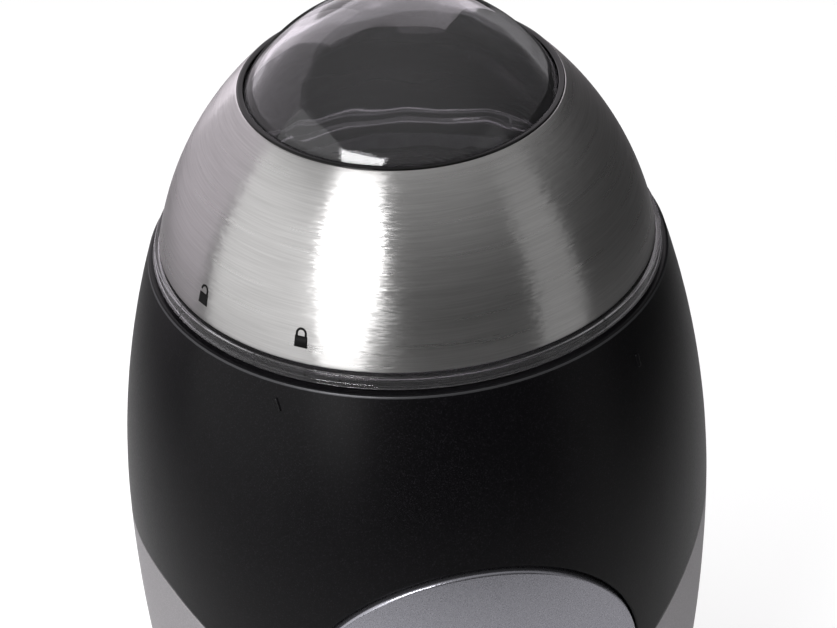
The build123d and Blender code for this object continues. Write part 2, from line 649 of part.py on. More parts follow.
def bowl_carrier():
    """Cup that holds the bowl, with a flange for the collar and bosses for the motor."""
    body = ring(FLANGE_R, CUP_IN_R, FLANGE_Z, FLOOR_Z)
    body += ring(CUP_R, CUP_IN_R, CUP_FLOOR_Z, CUP_TOP_Z)
    body += interlock_shelf() - rod(CUP_IN_R, CUP_FLOOR_Z, FLANGE_Z)
    body += rod(CUP_R, CUP_FLOOR_Z, CUP_FLOOR_TOP_Z)
    body += rod(HUB_R, CUP_FLOOR_Z, BOWL_BASE_Z - HUB_GAP)
    for x, y in DAMPER_SEATS:
        body += rod(BOSS_R, CUP_FLOOR_Z, BOWL_BASE_Z - HUB_GAP, x, y)
    body -= rod(SEAL_R + SEAL_WALL_GAP, CUP_FLOOR_Z, BOWL_BASE_Z)
    body -= rod(PIN_RELIEF_R, PIN_FOOT_Z - SWITCH_GAP, FLOOR_Z, PIN_CIRCLE_R)
    for x, y in DAMPER_SEATS:
        body -= rod(SCREW_R + SCREW_GAP, CUP_FLOOR_Z, BOWL_BASE_Z - HUB_GAP - SCREW_END_GAP, x, y)
    for x, y in SUPPORTS:
        body -= rod(SCREW_R + SCREW_GAP, CUP_FLOOR_Z, CUP_FLOOR_TOP_Z, x, y)
    for hole in frame_screw_holes(FLANGE_Z, FLOOR_Z):
        body -= hole
    return body


def support_posts():
    """Four posts between the cup's floor and the base plate, studded above and tapped below."""
    posts = []
    for x, y in SUPPORTS:
        post = rod(SUPPORT_R, SPIGOT_TOP_Z, CUP_FLOOR_Z, x, y)
        post += rod(SCREW_R, CUP_FLOOR_Z, CUP_FLOOR_Z + SUPPORT_STUD_L, x, y)
        posts.append(post - rod(SCREW_R + SCREW_GAP, SPIGOT_TOP_Z, SPIGOT_TOP_Z + BASE_SCREW_GRIP, x, y))
    return Compound(posts)


# ---- housings ----------------------------------------------------------------------------------
def upper_region(grow):
    """Everything above the seam, with the tongue that hangs down round the button."""
    slope = sin(radians(TONGUE_SLOPE)) / cos(radians(TONGUE_SLOPE))
    wide = BODY_R + FAR
    start_x = BODY_R - TONGUE_RUN_X
    inside_x = TONGUE_R - TONGUE_BORDER
    inside_z = SEAM_Z - (start_x - inside_x) * slope
    high = BODY_TOP_Z + FAR
    outline = [(-wide, SEAM_Z), (-start_x, SEAM_Z), (-inside_x, inside_z), (inside_x, inside_z),
               (start_x, SEAM_Z), (wide, SEAM_Z), (wide, high), (-wide, high)]
    sketch = make_face(Polyline(*outline, close=True)) + Pos(0, BUTTON_Z) * Rot(0, 0, 90) * Circle(TONGUE_R)
    corners = [v for v in sketch.vertices() if v.Y < high - FAR and abs(v.X) < BODY_R]
    sketch = fillet(corners, TONGUE_BLEND_R)
    if grow:
        sketch = offset(sketch, grow)
    front = extrude(Plane.XZ * sketch, amount=wide)
    return front + block(-wide, wide, 0, wide, SEAM_Z - grow, high)


def index_mark(angle, drop, lean):
    """Small raised, rounded tick on the upper housing; its top leans left as seen from outside."""
    z = BODY_TOP_Z - drop
    x, y = polar(bow_r(UPPER_BOW, z), angle)
    rise = degrees(asin((z - SEAM_Z) / UPPER_SWEEP_R))
    ridge_r = (INDEX_W ** 2 / 4 + INDEX_PROUD ** 2) / (2 * INDEX_PROUD)
    ridge = Pos(INDEX_PROUD - ridge_r, 0, 0) * Cylinder(ridge_r, INDEX_L)
    ridge = fillet(ridge.edges().filter_by(GeomType.CIRCLE), 0.7 * INDEX_PROUD)
    return Pos(x, y, z) * Rot(0, 0, angle) * Rot(0, -rise, 0) * Rot(lean, 0, 0) * ridge


def button_bucket():
    """Guide wall and web behind the button."""
    tube = rod_y(TONGUE_R, -BODY_R - FAR, WEB_Y, z=BUTTON_Z)
    tube -= rod_y(BUTTON_R + BUTTON_GAP, -BODY_R - FAR, WEB_FRONT_Y, z=BUTTON_Z)
    for x, z in stem_places():
        tube -= rod_y(STEM_R + STEM_HOLE_GAP, WEB_FRONT_Y, WEB_Y, x, z)
    tube -= rod_y(ACTUATOR_R + ACTUATOR_HOLE_GAP, WEB_FRONT_Y, WEB_Y, 0, BUTTON_Z)
    for x in (-START_SCREW_X, START_SCREW_X):
        tube -= rod_y(START_SCREW_R + SCREW_GAP, WEB_FRONT_Y, WEB_Y, x, BUTTON_Z)
    tube -= rod(CUP_R + SWITCH_GAP, CUP_FLOOR_Z - SWITCH_GAP, BODY_TOP_Z)
    return tube & barrel(0, SHELL_BOTTOM_Z, BODY_TOP_Z)


def stem_places():
    """Centres (x, z) of the button's guide stems."""
    places = []
    for angle in around(STEM_COUNT, STEM_ANGLE):
        x, z = polar(STEM_CIRCLE_R, angle)
        places.append((x, BUTTON_Z + z))
    return places


def upper_housing():
    """Black outer housing: shoulder, tongue round the button, button guide and screw bosses."""
    solid = barrel(0, SHELL_BOTTOM_Z, BODY_TOP_Z)
    solid = fillet(solid.edges().group_by(Axis.Z)[-1], BODY_TOP_ROUND)
    shell = solid - barrel(UPPER_WALL, SHELL_BOTTOM_Z, BODY_TOP_Z - TOP_LAND_T)
    shell -= rod(COLLAR_OUT_R + LAND_GAP, BODY_TOP_Z - CHANNEL_DEPTH, BODY_TOP_Z)
    shell &= upper_region(0)
    shell -= rod_y(BUTTON_R + BUTTON_GAP, -BODY_R - FAR, WEB_Y, z=BUTTON_Z)
    shell += button_bucket()
    inside = barrel(UPPER_WALL / 2, SHELL_BOTTOM_Z, BODY_TOP_Z - TOP_LAND_T / 2)
    for angle in FRAME_SCREW_ANGLES:
        x, y = polar(FRAME_SCREW_CIRCLE_R, angle)
        boss = rod(BOSS_R, FLOOR_TOP_Z + SEAM_GAP, BODY_TOP_Z, x, y) & inside
        boss -= rod(COLLAR_OUT_R + LAND_GAP, FLOOR_TOP_Z, BODY_TOP_Z)
        shell += boss
        shell -= rod(SCREW_R + SCREW_GAP, FLOOR_TOP_Z, FLOOR_TOP_Z + FRAME_SCREW_GRIP, x, y)
    for mark in INDEX_MARKS:
        shell += index_mark(*mark)
    return shell


def lower_shell():
    """Silver lower housing, cut away in front for the tongue, with the cord gland's hole."""
    top = SEAM_Z + SEAM_GAP
    shell = barrel(0, SHELL_BOTTOM_Z, top) - barrel(LOWER_WALL, SHELL_BOTTOM_Z, top)
    shell -= upper_region(SEAM_GAP)
    return shell - rod_y(GLAND_BODY_R + GLAND_WALL_GAP, GLAND_INNER_Y, BODY_R, z=GLAND_Z)


# ---- button and start switch -------------------------------------------------------------------
def start_button():
    """Round silver button that follows the body's curve, with a finger dish and guide stems."""
    face = barrel(-BUTTON_PROUD, SHELL_BOTTOM_Z, BODY_TOP_Z)
    back = barrel(BUTTON_WALL - BUTTON_PROUD, SHELL_BOTTOM_Z, BODY_TOP_Z)
    plug = rod_y(BUTTON_R, -BODY_R - FAR, BUTTON_SKIRT_END_Y, z=BUTTON_Z) & face
    skirt_y = BUTTON_SKIRT_END_Y - SEAM_GAP
    rim = [e for e in plug.edges() if e.length > 2 * BUTTON_R and e.center().Y < skirt_y]
    plug = fillet(rim, BUTTON_EDGE_ROUND)
    hollow = rod_y(BUTTON_R - BUTTON_WALL, -BODY_R - FAR, BUTTON_SKIRT_END_Y, z=BUTTON_Z) & back
    button = plug - hollow
    for x, z in stem_places():
        button += rod_y(STEM_BOSS_R, -BODY_R, STEM_BOSS_END_Y, x, z) & back
        button += rod_y(STEM_R, STEM_BOSS_END_Y - SCREW_GAP, WEB_Y + SWITCH_GAP + STEM_HEAD_T, x, z)
        button += rod_y(STEM_HEAD_R, WEB_Y + SWITCH_GAP, WEB_Y + SWITCH_GAP + STEM_HEAD_T, x, z)
    button += rod_y(ACTUATOR_R, -BODY_R, ACTUATOR_END_Y, 0, BUTTON_Z) & back
    dish_radius = (DISH_R ** 2 + DISH_DEPTH ** 2) / (2 * DISH_DEPTH)
    surface_y = -BODY_R - BUTTON_PROUD
    dish = Pos(0, surface_y + DISH_DEPTH - dish_radius, BUTTON_Z) * Sphere(dish_radius)
    return button - (dish & rod_y(DISH_R, -BODY_R - FAR, surface_y + 2 * BUTTON_WALL, z=BUTTON_Z))


def button_springs():
    """Return springs round the button's stems."""
    springs = []
    length = WEB_FRONT_Y - STEM_BOSS_END_Y - 2 * SWITCH_GAP
    for x, z in stem_places():
        spring = coil_spring(STEM_R + BUTTON_SPRING_FIT, BUTTON_SPRING_WIRE, length, BUTTON_SPRING_TURNS)
        springs.append(Pos(x, WEB_FRONT_Y - SWITCH_GAP, z) * Rot(90, 0, 0) * spring)
    return Compound(springs)


def start_switch():
    """Snap-action start switch on the back of the web, with its terminals."""
    long, deep, high = START_SIZE
    back_y = START_FRONT_Y + deep
    body = block(-long / 2, long / 2, START_FRONT_Y, back_y, BUTTON_Z - high / 2, BUTTON_Z + high / 2)
    well_end = PLUNGER_TIP_Y + 2 * BUTTON_STROKE + START_PLUNGER_TAIL + SWITCH_GAP
    body -= rod_y(START_PLUNGER_R + START_PLUNGER_GAP, START_FRONT_Y, well_end, 0, BUTTON_Z)
    for x in (-START_SCREW_X, START_SCREW_X):
        body -= rod_y(START_SCREW_R + SCREW_GAP, START_FRONT_Y, back_y, x, BUTTON_Z)
    for z in (BUTTON_Z - high / 3, BUTTON_Z + high / 3):
        body += block(-TERMINAL_W / 2, TERMINAL_W / 2, back_y, back_y + TERMINAL_L,
                      z - TERMINAL_T / 2, z + TERMINAL_T / 2)
    return body


def switch_plunger():
    """Plunger of the start switch, pushed by the button's actuator."""
    tail = PLUNGER_TIP_Y + BUTTON_STROKE + START_PLUNGER_TAIL
    return rod_y(START_PLUNGER_R, PLUNGER_TIP_Y, tail, 0, BUTTON_Z)


def switch_screws():
    """Two small screws that hold the start switch to the web."""
    back_y = START_FRONT_Y + START_SIZE[1]
    screws = []
    for x in (-START_SCREW_X, START_SCREW_X):
        shank = rod_y(START_SCREW_R, WEB_FRONT_Y + SCREW_GAP, back_y, x, BUTTON_Z)
        screws.append(shank + rod_y(START_SCREW_HEAD_R, back_y, back_y + START_SCREW_HEAD_T, x, BUTTON_Z))
    return Compound(screws)


# ---- bowl and seals ----------------------------------------------------------------------------
def grinding_bowl():
    """Stainless bowl with a flange that hangs in the cup and a drawn neck round the shaft."""
    flat_r = BOWL_R - BOWL_CORNER_R
    corner_z = BOWL_FLOOR_Z + BOWL_CORNER_R
    far = BOWL_CORNER_R * sin(radians(45))
    out_far = (BOWL_CORNER_R + BOWL_T) * sin(radians(45))
    inner = ThreePointArc((flat_r, BOWL_FLOOR_Z), (flat_r + far, corner_z - far), (BOWL_R, corner_z))
    outer_mid = (flat_r + out_far, corner_z - out_far)
    outer = ThreePointArc((BOWL_R + BOWL_T, corner_z), outer_mid, (flat_r, BOWL_BASE_Z))
    neck_top = BOWL_FLOOR_Z + BOWL_NECK_H
    rim = Polyline(inner @ 1, (BOWL_R, BOWL_RIM_Z), (BOWL_FLANGE_R, BOWL_RIM_Z),
                   (BOWL_FLANGE_R, BOWL_RIM_Z - BOWL_T), (BOWL_R + BOWL_T, BOWL_RIM_Z - BOWL_T), outer @ 0)
    neck = Polyline(outer @ 1, (BOWL_NECK_R, BOWL_BASE_Z), (BOWL_NECK_R, neck_top),
                    (BOWL_NECK_R + BOWL_T, neck_top), (BOWL_NECK_R + BOWL_T, BOWL_FLOOR_Z), inner @ 0)
    return spun(inner, rim, outer, neck)


def bowl_gasket():
    """Flat gasket between the cup's top edge and the bowl's flange."""
    return ring(CUP_R, CUP_IN_R, CUP_TOP_Z, CUP_TOP_Z + BOWL_GASKET_T)


def shaft_seal():
    """Rubber seal in the frame's hub, with a collar inside the bowl's neck."""
    body = rod(SEAL_R, CUP_FLOOR_Z, BOWL_BASE_Z)
    body += rod(BOWL_NECK_R - SEAL_WALL_GAP, BOWL_BASE_Z, BOWL_FLOOR_Z + BOWL_NECK_H)
    return body - rod(SHAFT_R + SEAL_FIT, CUP_FLOOR_Z, BOWL_FLOOR_Z + BOWL_NECK_H)


# ---- rotor -------------------------------------------------------------------------------------
def motor_shaft():
    """Steel shaft with a shoulder that carries the blade."""
    tip = SHOULDER_Z + BLADE_T + WASHER_T + NUT_H - NUT_CAP_T
    return rod(SHAFT_R, SHAFT_BOTTOM_Z, SHOULDER_Z) + rod(SHAFT_TIP_R, SHOULDER_Z, tip)


def grinding_blade():
    """Two-armed blade, one arm pitched up and the other down."""
    z = SHOULDER_Z + BLADE_T / 2
    blade = rod(BLADE_HUB_R, SHOULDER_Z, SHOULDER_Z + BLADE_T)
    reach = BLADE_R - BLADE_ROOT_R
    for side, lift in ((0, 6), (180, -2)):
        arm = Box(reach, BLADE_W, BLADE_T, align=(Align.MIN, Align.CENTER, Align.CENTER))
        arm = fillet(arm.edges().filter_by(Axis.Z).group_by(Axis.X)[-1], BLADE_W / 3)
        blade += Pos(0, 0, z) * Rot(0, 0, side) * Rot(BLADE_PITCH, -lift, 0) * Pos(BLADE_ROOT_R, 0, 0) * arm
    return blade - rod(SHAFT_TIP_R, SHOULDER_Z - BLADE_T, SHOULDER_Z + 2 * BLADE_T)


def blade_washer():
    """Lock washer under the blade's nut."""
    bottom = SHOULDER_Z + BLADE_T
    return ring(WASHER_R, SHAFT_TIP_R, bottom, bottom + WASHER_T)


def blade_nut():
    """Hexagonal cap nut on the shaft's tip."""
    bottom = SHOULDER_Z + BLADE_T + WASHER_T
    nut = Pos(0, 0, bottom) * extrude(RegularPolygon(NUT_FLATS / 2, 6, major_radius=False), amount=NUT_H)
    nut &= Pos(0, 0, bottom) * Sphere(NUT_H + NUT_CROWN)
    return nut - rod(SHAFT_TIP_R, bottom, bottom + NUT_H - NUT_CAP_T)


def armature_core():
    """Slotted laminated core of the armature."""
    core = ring(ARMATURE_R, SHAFT_R, STATOR_Z, STATOR_TOP_Z)
    for angle in around(CORE_SLOTS):
        slot = block(ARMATURE_R - CORE_SLOT_DEPTH, ARMATURE_R + AIR_GAP, -CORE_SLOT_W / 2, CORE_SLOT_W / 2,
                     STATOR_Z, STATOR_TOP_Z)
        core -= Rot(0, 0, angle) * slot
    return core


def armature_windings():
    """Copper end turns on both ends of the armature core."""
    low = ring(WINDING_R, SHAFT_R, STATOR_Z - WINDING_OVERHANG, STATOR_Z)
    high = ring(WINDING_R, SHAFT_R, STATOR_TOP_Z, STATOR_TOP_Z + WINDING_OVERHANG)
    low = fillet(low.edges().group_by(Axis.Z)[0].sort_by(SortBy.LENGTH)[-1], WINDING_ROUND)
    high = fillet(high.edges().group_by(Axis.Z)[-1].sort_by(SortBy.LENGTH)[-1], WINDING_ROUND)
    return Compound([low, high])


def commutator():
    """Copper commutator with slots between its bars."""
    body = ring(COMMUTATOR_R, SHAFT_R, COMMUTATOR_Z, COMMUTATOR_Z + COMMUTATOR_H)
    for angle in around(CORE_SLOTS):
        half = COMMUTATOR_SLOT_W / 2
        slot = block(COMMUTATOR_R - COMMUTATOR_SLOT_DEPTH, COMMUTATOR_R + COMMUTATOR_SLOT_DEPTH, -half, half,
                     COMMUTATOR_Z, COMMUTATOR_Z + COMMUTATOR_H)
        body -= Rot(0, 0, angle) * slot
    return body


def cooling_fan():
    """Radial fan on the shaft's lower end."""
    fan = rod(FAN_R, FAN_Z + FAN_H - FAN_PLATE_T, FAN_Z + FAN_H) + rod(FAN_HUB_R, FAN_Z, FAN_Z + FAN_H)
    for angle in around(FAN_BLADES):
        fan += Rot(0, 0, angle) * block(FAN_HUB_R - FAN_BLADE_T, FAN_R, -FAN_BLADE_T / 2, FAN_BLADE_T / 2,
                                        FAN_Z, FAN_Z + FAN_H - FAN_PLATE_T / 2)
    return fan - rod(SHAFT_R, FAN_Z, FAN_Z + FAN_H)


# ---- motor, fixed part -------------------------------------------------------------------------
def stator_core():
    """Laminated field core with two poles, coil slots and four bolt holes."""
    core = extrude(RectangleRounded(STATOR_X, STATOR_Y, STATOR_ROUND), amount=STATOR_H)
    core = Pos(0, 0, STATOR_Z) * core
    core -= rod(STATOR_BORE_R, STATOR_Z, STATOR_TOP_Z)
    core -= block(-SLOT_REACH_X, SLOT_REACH_X, -SLOT_HALF_Y, SLOT_HALF_Y, STATOR_Z, STATOR_TOP_Z)
    for x, y in POSTS:
        core -= rod(BOLT_R + BOLT_GAP, STATOR_Z, STATOR_TOP_Z, x, y)
    return core


def field_coil(side):
    """One field coil: legs in the slots and end turns bent round the armature."""
    z0 = STATOR_Z - COIL_OVERHANG
    z1 = STATOR_TOP_Z + COIL_OVERHANG
    coil = None
    for low, high in ((z0, STATOR_Z - COIL_GAP), (STATOR_TOP_Z + COIL_GAP, z1)):
        turn = ring(COIL_OUT_R, COIL_IN_R, low, high)
        turn &= block(-COIL_OUT_R, COIL_OUT_R, COIL_GAP, COIL_OUT_R, low, high)
        coil = turn if coil is None else coil + turn
    for x0, x1 in ((COIL_IN_R, SLOT_REACH_X - COIL_GAP), (-SLOT_REACH_X + COIL_GAP, -COIL_IN_R)):
        coil += block(x0, x1, COIL_GAP, COIL_LEG_Y, z0 + COIL_GAP, z1 - COIL_GAP)
    return Rot(0, 0, 0 if side > 0 else 180) * coil


def field_coils():
    """The pair of field coils."""
    return Compound([field_coil(1), field_coil(-1)])


def bearing_bush(z0):
    """Sintered bronze bush with a running fit on the shaft."""
    return ring(BEARING_R, SHAFT_R + BEARING_FIT, z0, z0 + BEARING_H)


def bracket_plate(z0):
    """Rounded plate of a motor bracket with four windows for the cooling air."""
    plate = Pos(0, 0, z0) * extrude(RectangleRounded(BRACKET_X, BRACKET_Y, STATOR_ROUND), amount=BRACKET_T)
    for angle in around(4, 45):
        plate -= wedge(WINDOW_OUT_R, WINDOW_IN_R, z0, z0 + BRACKET_T, angle, WINDOW_SPAN)
    return plate


def upper_bracket():
    """Bracket above the stator: bearing housing, posts and seats for the rubber mounts."""
    body = bracket_plate(UPPER_BRACKET_Z)
    body += rod(HOUSING_R, UPPER_BRACKET_TOP_Z - BEARING_H, UPPER_BRACKET_TOP_Z)
    for x, y in POSTS:
        body += rod(POST_R, STATOR_TOP_Z, UPPER_BRACKET_Z, x, y)
    for x, y in POSTS:
        body -= rod(BOLT_R + BOLT_GAP, STATOR_TOP_Z, UPPER_BRACKET_TOP_Z, x, y)
    for x, y in DAMPER_SEATS:
        body -= rod(SCREW_R + SCREW_GAP, UPPER_BRACKET_Z, UPPER_BRACKET_TOP_Z, x, y)
    return body - rod(BEARING_R, UPPER_BRACKET_TOP_Z - BEARING_H, UPPER_BRACKET_TOP_Z)


def upper_bearing():
    return bearing_bush(UPPER_BRACKET_TOP_Z - BEARING_H)


def lower_bracket():
    """Bracket below the stator: bearing housing, posts and pillars for the brush holders."""
    body = bracket_plate(LOWER_BRACKET_Z)
    body += rod(HOUSING_R, LOWER_BRACKET_Z, LOWER_BRACKET_Z + BEARING_H)
    for x, y in POSTS:
        body += rod(POST_R, LOWER_BRACKET_TOP_Z, STATOR_Z, x, y)
    seat = BRUSH_Z - BRUSH_H / 2 - HOLDER_FIT - HOLDER_WALL
    for side in (1, -1):
        end = HOLDER_END_X - HOLDER_PILLAR_END
        x0, x1 = sorted((side * (end - HOLDER_PILLAR_L), side * end))
        body += block(x0, x1, -BRUSH_W / 2, BRUSH_W / 2, LOWER_BRACKET_Z, seat)
    for x, y in POSTS:
        body -= rod(BOLT_R + BOLT_GAP, LOWER_BRACKET_Z, STATOR_Z, x, y)
    return body - rod(BEARING_R, LOWER_BRACKET_Z, LOWER_BRACKET_Z + BEARING_H)


def lower_bearing():
    return bearing_bush(LOWER_BRACKET_Z)


def brush_holders():
    """Two brass box tubes that guide the carbon brushes."""
    wide = BRUSH_W / 2 + HOLDER_FIT
    high = BRUSH_H / 2 + HOLDER_FIT
    holder = block(HOLDER_START_X, HOLDER_END_X, -wide - HOLDER_WALL, wide + HOLDER_WALL,
                   BRUSH_Z - high - HOLDER_WALL, BRUSH_Z + high + HOLDER_WALL)
    holder -= block(HOLDER_START_X, HOLDER_END_X - HOLDER_WALL, -wide, wide, BRUSH_Z - high, BRUSH_Z + high)
    return Compound([holder, Rot(0, 0, 180) * holder])


def carbon_brushes():
    """Two brushes, each just clear of the commutator."""
    start = COMMUTATOR_R + BRUSH_GAP
    brush = block(start, start + BRUSH_L, -BRUSH_W / 2, BRUSH_W / 2,
                  BRUSH_Z - BRUSH_H / 2, BRUSH_Z + BRUSH_H / 2)
    return Compound([brush, Rot(0, 0, 180) * brush])


def brush_springs():
    """Springs that press the brushes, one behind each."""
    start = COMMUTATOR_R + BRUSH_GAP + BRUSH_L
    length = HOLDER_END_X - HOLDER_WALL - start
    radius = BRUSH_W / 2 - BRUSH_SPRING_WIRE / 2 - BRUSH_SPRING_GAP
    spring = coil_spring(radius, BRUSH_SPRING_WIRE, length, BRUSH_SPRING_TURNS)
    spring = Pos(start, 0, BRUSH_Z) * Rot(0, 90, 0) * spring
    return Compound([spring, Rot(0, 0, 180) * spring])


def motor_bolts():
    """Four long bolts that clamp the brackets and the stator together."""
    bolts = []
    for x, y in POSTS:
        bolt = rod(BOLT_R, LOWER_BRACKET_Z, UPPER_BRACKET_TOP_Z - BOLT_GAP, x, y)
        bolts.append(bolt + rod(SCREW_HEAD_R, LOWER_BRACKET_Z - SCREW_HEAD_T, LOWER_BRACKET_Z, x, y))
    return Compound(bolts)


def motor_dampers():
    """Rubber mounts between the motor and the frame."""
    dampers = []
    for x, y in DAMPER_SEATS:
        damper = rod(DAMPER_R, UPPER_BRACKET_TOP_Z, CUP_FLOOR_Z, x, y)
        dampers.append(damper - rod(SCREW_R + SCREW_GAP, UPPER_BRACKET_TOP_Z, CUP_FLOOR_Z, x, y))
    return Compound(dampers)


def motor_screws():
    """Screws through the upper bracket and the rubber mounts into the frame."""
    tip = BOWL_BASE_Z - HUB_GAP - 2 * SCREW_END_GAP
    return Compound([screw_up(x, y, UPPER_BRACKET_Z, tip) for x, y in DAMPER_SEATS])


# ---- base --------------------------------------------------------------------------------------
def base_plate():
    """Bottom cover with a spigot inside the lower shell, air vents and pockets for the feet."""
    plate = rod(PLATE_RIM_R, PLATE_BOTTOM_Z, SHELL_BOTTOM_Z - PLATE_RIM_GAP)
    plate += rod(SPIGOT_R, PLATE_BOTTOM_Z, SPIGOT_TOP_Z)
    plate -= rod(SPIGOT_R - SPIGOT_WALL, PLATE_TOP_Z, SPIGOT_TOP_Z)
    for x, y in SUPPORTS:
        boss = rod(SUPPORT_R, PLATE_BOTTOM_Z, SPIGOT_TOP_Z, x, y)
        plate += boss & rod(SPIGOT_R, PLATE_BOTTOM_Z, SPIGOT_TOP_Z)
    for x, y in SUPPORTS:
        plate -= rod(SCREW_R + SCREW_GAP, PLATE_BOTTOM_Z, SPIGOT_TOP_Z, x, y)
        plate -= rod(SCREW_HEAD_R + SCREW_GAP, PLATE_BOTTOM_Z, PLATE_BOTTOM_Z + SCREW_HEAD_T, x, y)
    for angle in around(FOOT_COUNT):
        x, y = polar(FOOT_CIRCLE_R, angle)
        plate -= rod(FOOT_R + SCREW_GAP, PLATE_BOTTOM_Z, PLATE_BOTTOM_Z + FOOT_POCKET, x, y)
        plate -= rod(FOOT_STEM_R, PLATE_BOTTOM_Z, PLATE_TOP_Z, x, y)
    for angle in around(VENT_COUNT, 180 / VENT_COUNT):
        vent = block(VENT_IN_R, VENT_OUT_R, -VENT_W / 2, VENT_W / 2, PLATE_BOTTOM_Z, PLATE_TOP_Z)
        plate -= Rot(0, 0, angle) * vent
    return plate


def rubber_feet():
    """Four feet, each with a stem pushed through the base plate."""
    feet = []
    for angle in around(FOOT_COUNT):
        x, y = polar(FOOT_CIRCLE_R, angle)
        foot = rod(FOOT_R, 0, PLATE_BOTTOM_Z + FOOT_POCKET, x, y)
        foot = fillet(foot.edges().group_by(Axis.Z)[0], FOOT_ROUND)
        feet.append(foot + rod(FOOT_STEM_R, PLATE_BOTTOM_Z, PLATE_TOP_Z, x, y))
    return Compound(feet)


def base_screws():
    """Four screws through the base plate into the frame's legs."""
    head = PLATE_BOTTOM_Z + SCREW_HEAD_T
    tip = SPIGOT_TOP_Z + BASE_SCREW_GRIP - SCREW_END_GAP
    return Compound([screw_up(x, y, head, tip) for x, y in SUPPORTS])


def frame_screws():
    """Three screws through the frame's flange into the upper housing."""
    tip = FLOOR_TOP_Z + FRAME_SCREW_GRIP - SCREW_END_GAP
    places = [polar(FRAME_SCREW_CIRCLE_R, angle) for angle in FRAME_SCREW_ANGLES]
    return Compound([screw_up(x, y, FLANGE_Z, tip) for x, y in places])


def cord_gland():
    """Flanged bush in the lower shell's back, where a mains cord would enter."""
    gland = rod_y(GLAND_BODY_R, GLAND_INNER_Y, GLAND_OUTER_Y, z=GLAND_Z)
    gland += rod_y(GLAND_FLANGE_R, GLAND_OUTER_Y - GLAND_FLANGE_T, GLAND_OUTER_Y, z=GLAND_Z)
    return gland - rod_y(GLAND_BORE_R, GLAND_INNER_Y, GLAND_OUTER_Y, z=GLAND_Z)


# ---- all sub-parts -----------------------------------------------------------------------------
PARTS = (
    lid_shell, lid_sleeve, window_gasket, lid_seal,
    interlock_ring, interlock_pin, interlock_spring, interlock_switch,
    upper_housing, lower_shell, lid_collar, bowl_carrier, support_posts,
    base_plate, rubber_feet, base_screws, frame_screws, cord_gland,
    start_button, button_springs, start_switch, switch_plunger, switch_screws,
    grinding_bowl, bowl_gasket, shaft_seal,
    motor_shaft, armature_core, armature_windings, commutator, cooling_fan,
    grinding_blade, blade_washer, blade_nut,
    stator_core, field_coils, upper_bracket, upper_bearing, lower_bracket, lower_bearing,
    brush_holders, carbon_brushes, brush_springs, motor_bolts, motor_dampers, motor_screws,
)

os.makedirs("parts", exist_ok=True)
for make in PARTS:
    export_step(make(), f"parts/{make.__name__}.step")
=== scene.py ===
import json
from math import cos, hypot, pi, radians, sin, sqrt

import bmesh
import bpy
from mathutils import Matrix, Vector


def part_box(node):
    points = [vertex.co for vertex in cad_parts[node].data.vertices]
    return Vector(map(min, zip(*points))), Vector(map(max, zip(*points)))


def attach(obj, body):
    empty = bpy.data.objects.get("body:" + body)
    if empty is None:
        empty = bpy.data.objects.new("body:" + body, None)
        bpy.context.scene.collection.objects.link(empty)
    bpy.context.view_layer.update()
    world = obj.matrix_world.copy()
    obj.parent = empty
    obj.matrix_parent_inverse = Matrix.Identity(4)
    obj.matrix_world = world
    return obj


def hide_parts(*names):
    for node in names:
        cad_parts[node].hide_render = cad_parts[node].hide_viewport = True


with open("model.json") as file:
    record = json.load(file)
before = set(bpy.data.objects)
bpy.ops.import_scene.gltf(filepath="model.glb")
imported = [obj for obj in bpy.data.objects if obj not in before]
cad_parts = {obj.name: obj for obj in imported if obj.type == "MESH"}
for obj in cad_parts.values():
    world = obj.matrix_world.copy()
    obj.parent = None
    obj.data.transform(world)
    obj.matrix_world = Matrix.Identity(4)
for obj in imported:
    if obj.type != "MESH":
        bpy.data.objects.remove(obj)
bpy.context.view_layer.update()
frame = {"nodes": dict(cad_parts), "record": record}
NODES = frame["nodes"]

# Electric spice grinder, dressed on the CAD frame.
# Sizes are in millimetres and angles in degrees.  Meshes are scaled to metres when they are made.
# The front, with the round button, faces -Y; azimuths of lamps and marks run from the front
# towards +X.
MM = 0.001


def corners(node):
    """Lowest and highest corner of a CAD node, in millimetres."""
    low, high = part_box(node)
    return low / MM, high / MM


# ---- sizes read from the frame -------------------------------------------------------------------
BODY_TOP_Z = corners("upper_housing")[1].z
SLEEVE_BOTTOM_Z = corners("lid_sleeve")[0].z
SLEEVE_TOP_Z = corners("lid_sleeve")[1].z
SLEEVE_BOTTOM_R = corners("lid_sleeve")[1].x
RIM_R = corners("lid_shell")[1].x
DOME_TOP_Z = corners("lid_shell")[1].z
SKIRT_BOTTOM_Z = corners("lid_shell")[0].z

# ---- sizes shared with the CAD -------------------------------------------------------------------
RIM_BOTTOM_Z = 142.5
RIM_TOP_Z = 144.9
SLEEVE_TOP_R = 27.8
SLEEVE_BULGE = 2.4           # rise of the sleeve's outline over its chord
SLEEVE_T = 0.8
SLEEVE_GAP = 0.2             # between the sleeve and the clear cone
LID_WALL = 2.0
DOME_R = 26.4
DOME_DROP = 0.1              # dome's base below the sleeve's top
DOME_WALL = 2.2
GROOVE_DEPTH = 2.2           # groove for the window's seal
GASKET_GAP = 0.15            # between that seal and what it lies against
GASKET_PROUD = 0.2
SKIRT_R = 39.3
SKIRT_IN_R = 37.9
SHELF_R = 36.6               # shelf that the lid seal sits under
SHELF_Z = 141.8
SHELF_T = 1.4
SHELF_RAMP = 3.0             # height over which the shelf runs out into the cone

LUG_COUNT = 3
LUG_R = 41.0
LUG_Z = 131.0
LUG_H = 2.5
LUG_SPAN = 14.0
LUG_AZIMUTH = -40.0
DOG_OFFSET = 60.0            # notches for the ring's dogs, round from the lugs
NOTCH_TOP_Z = 131.0
NOTCH_SPAN = 7.2

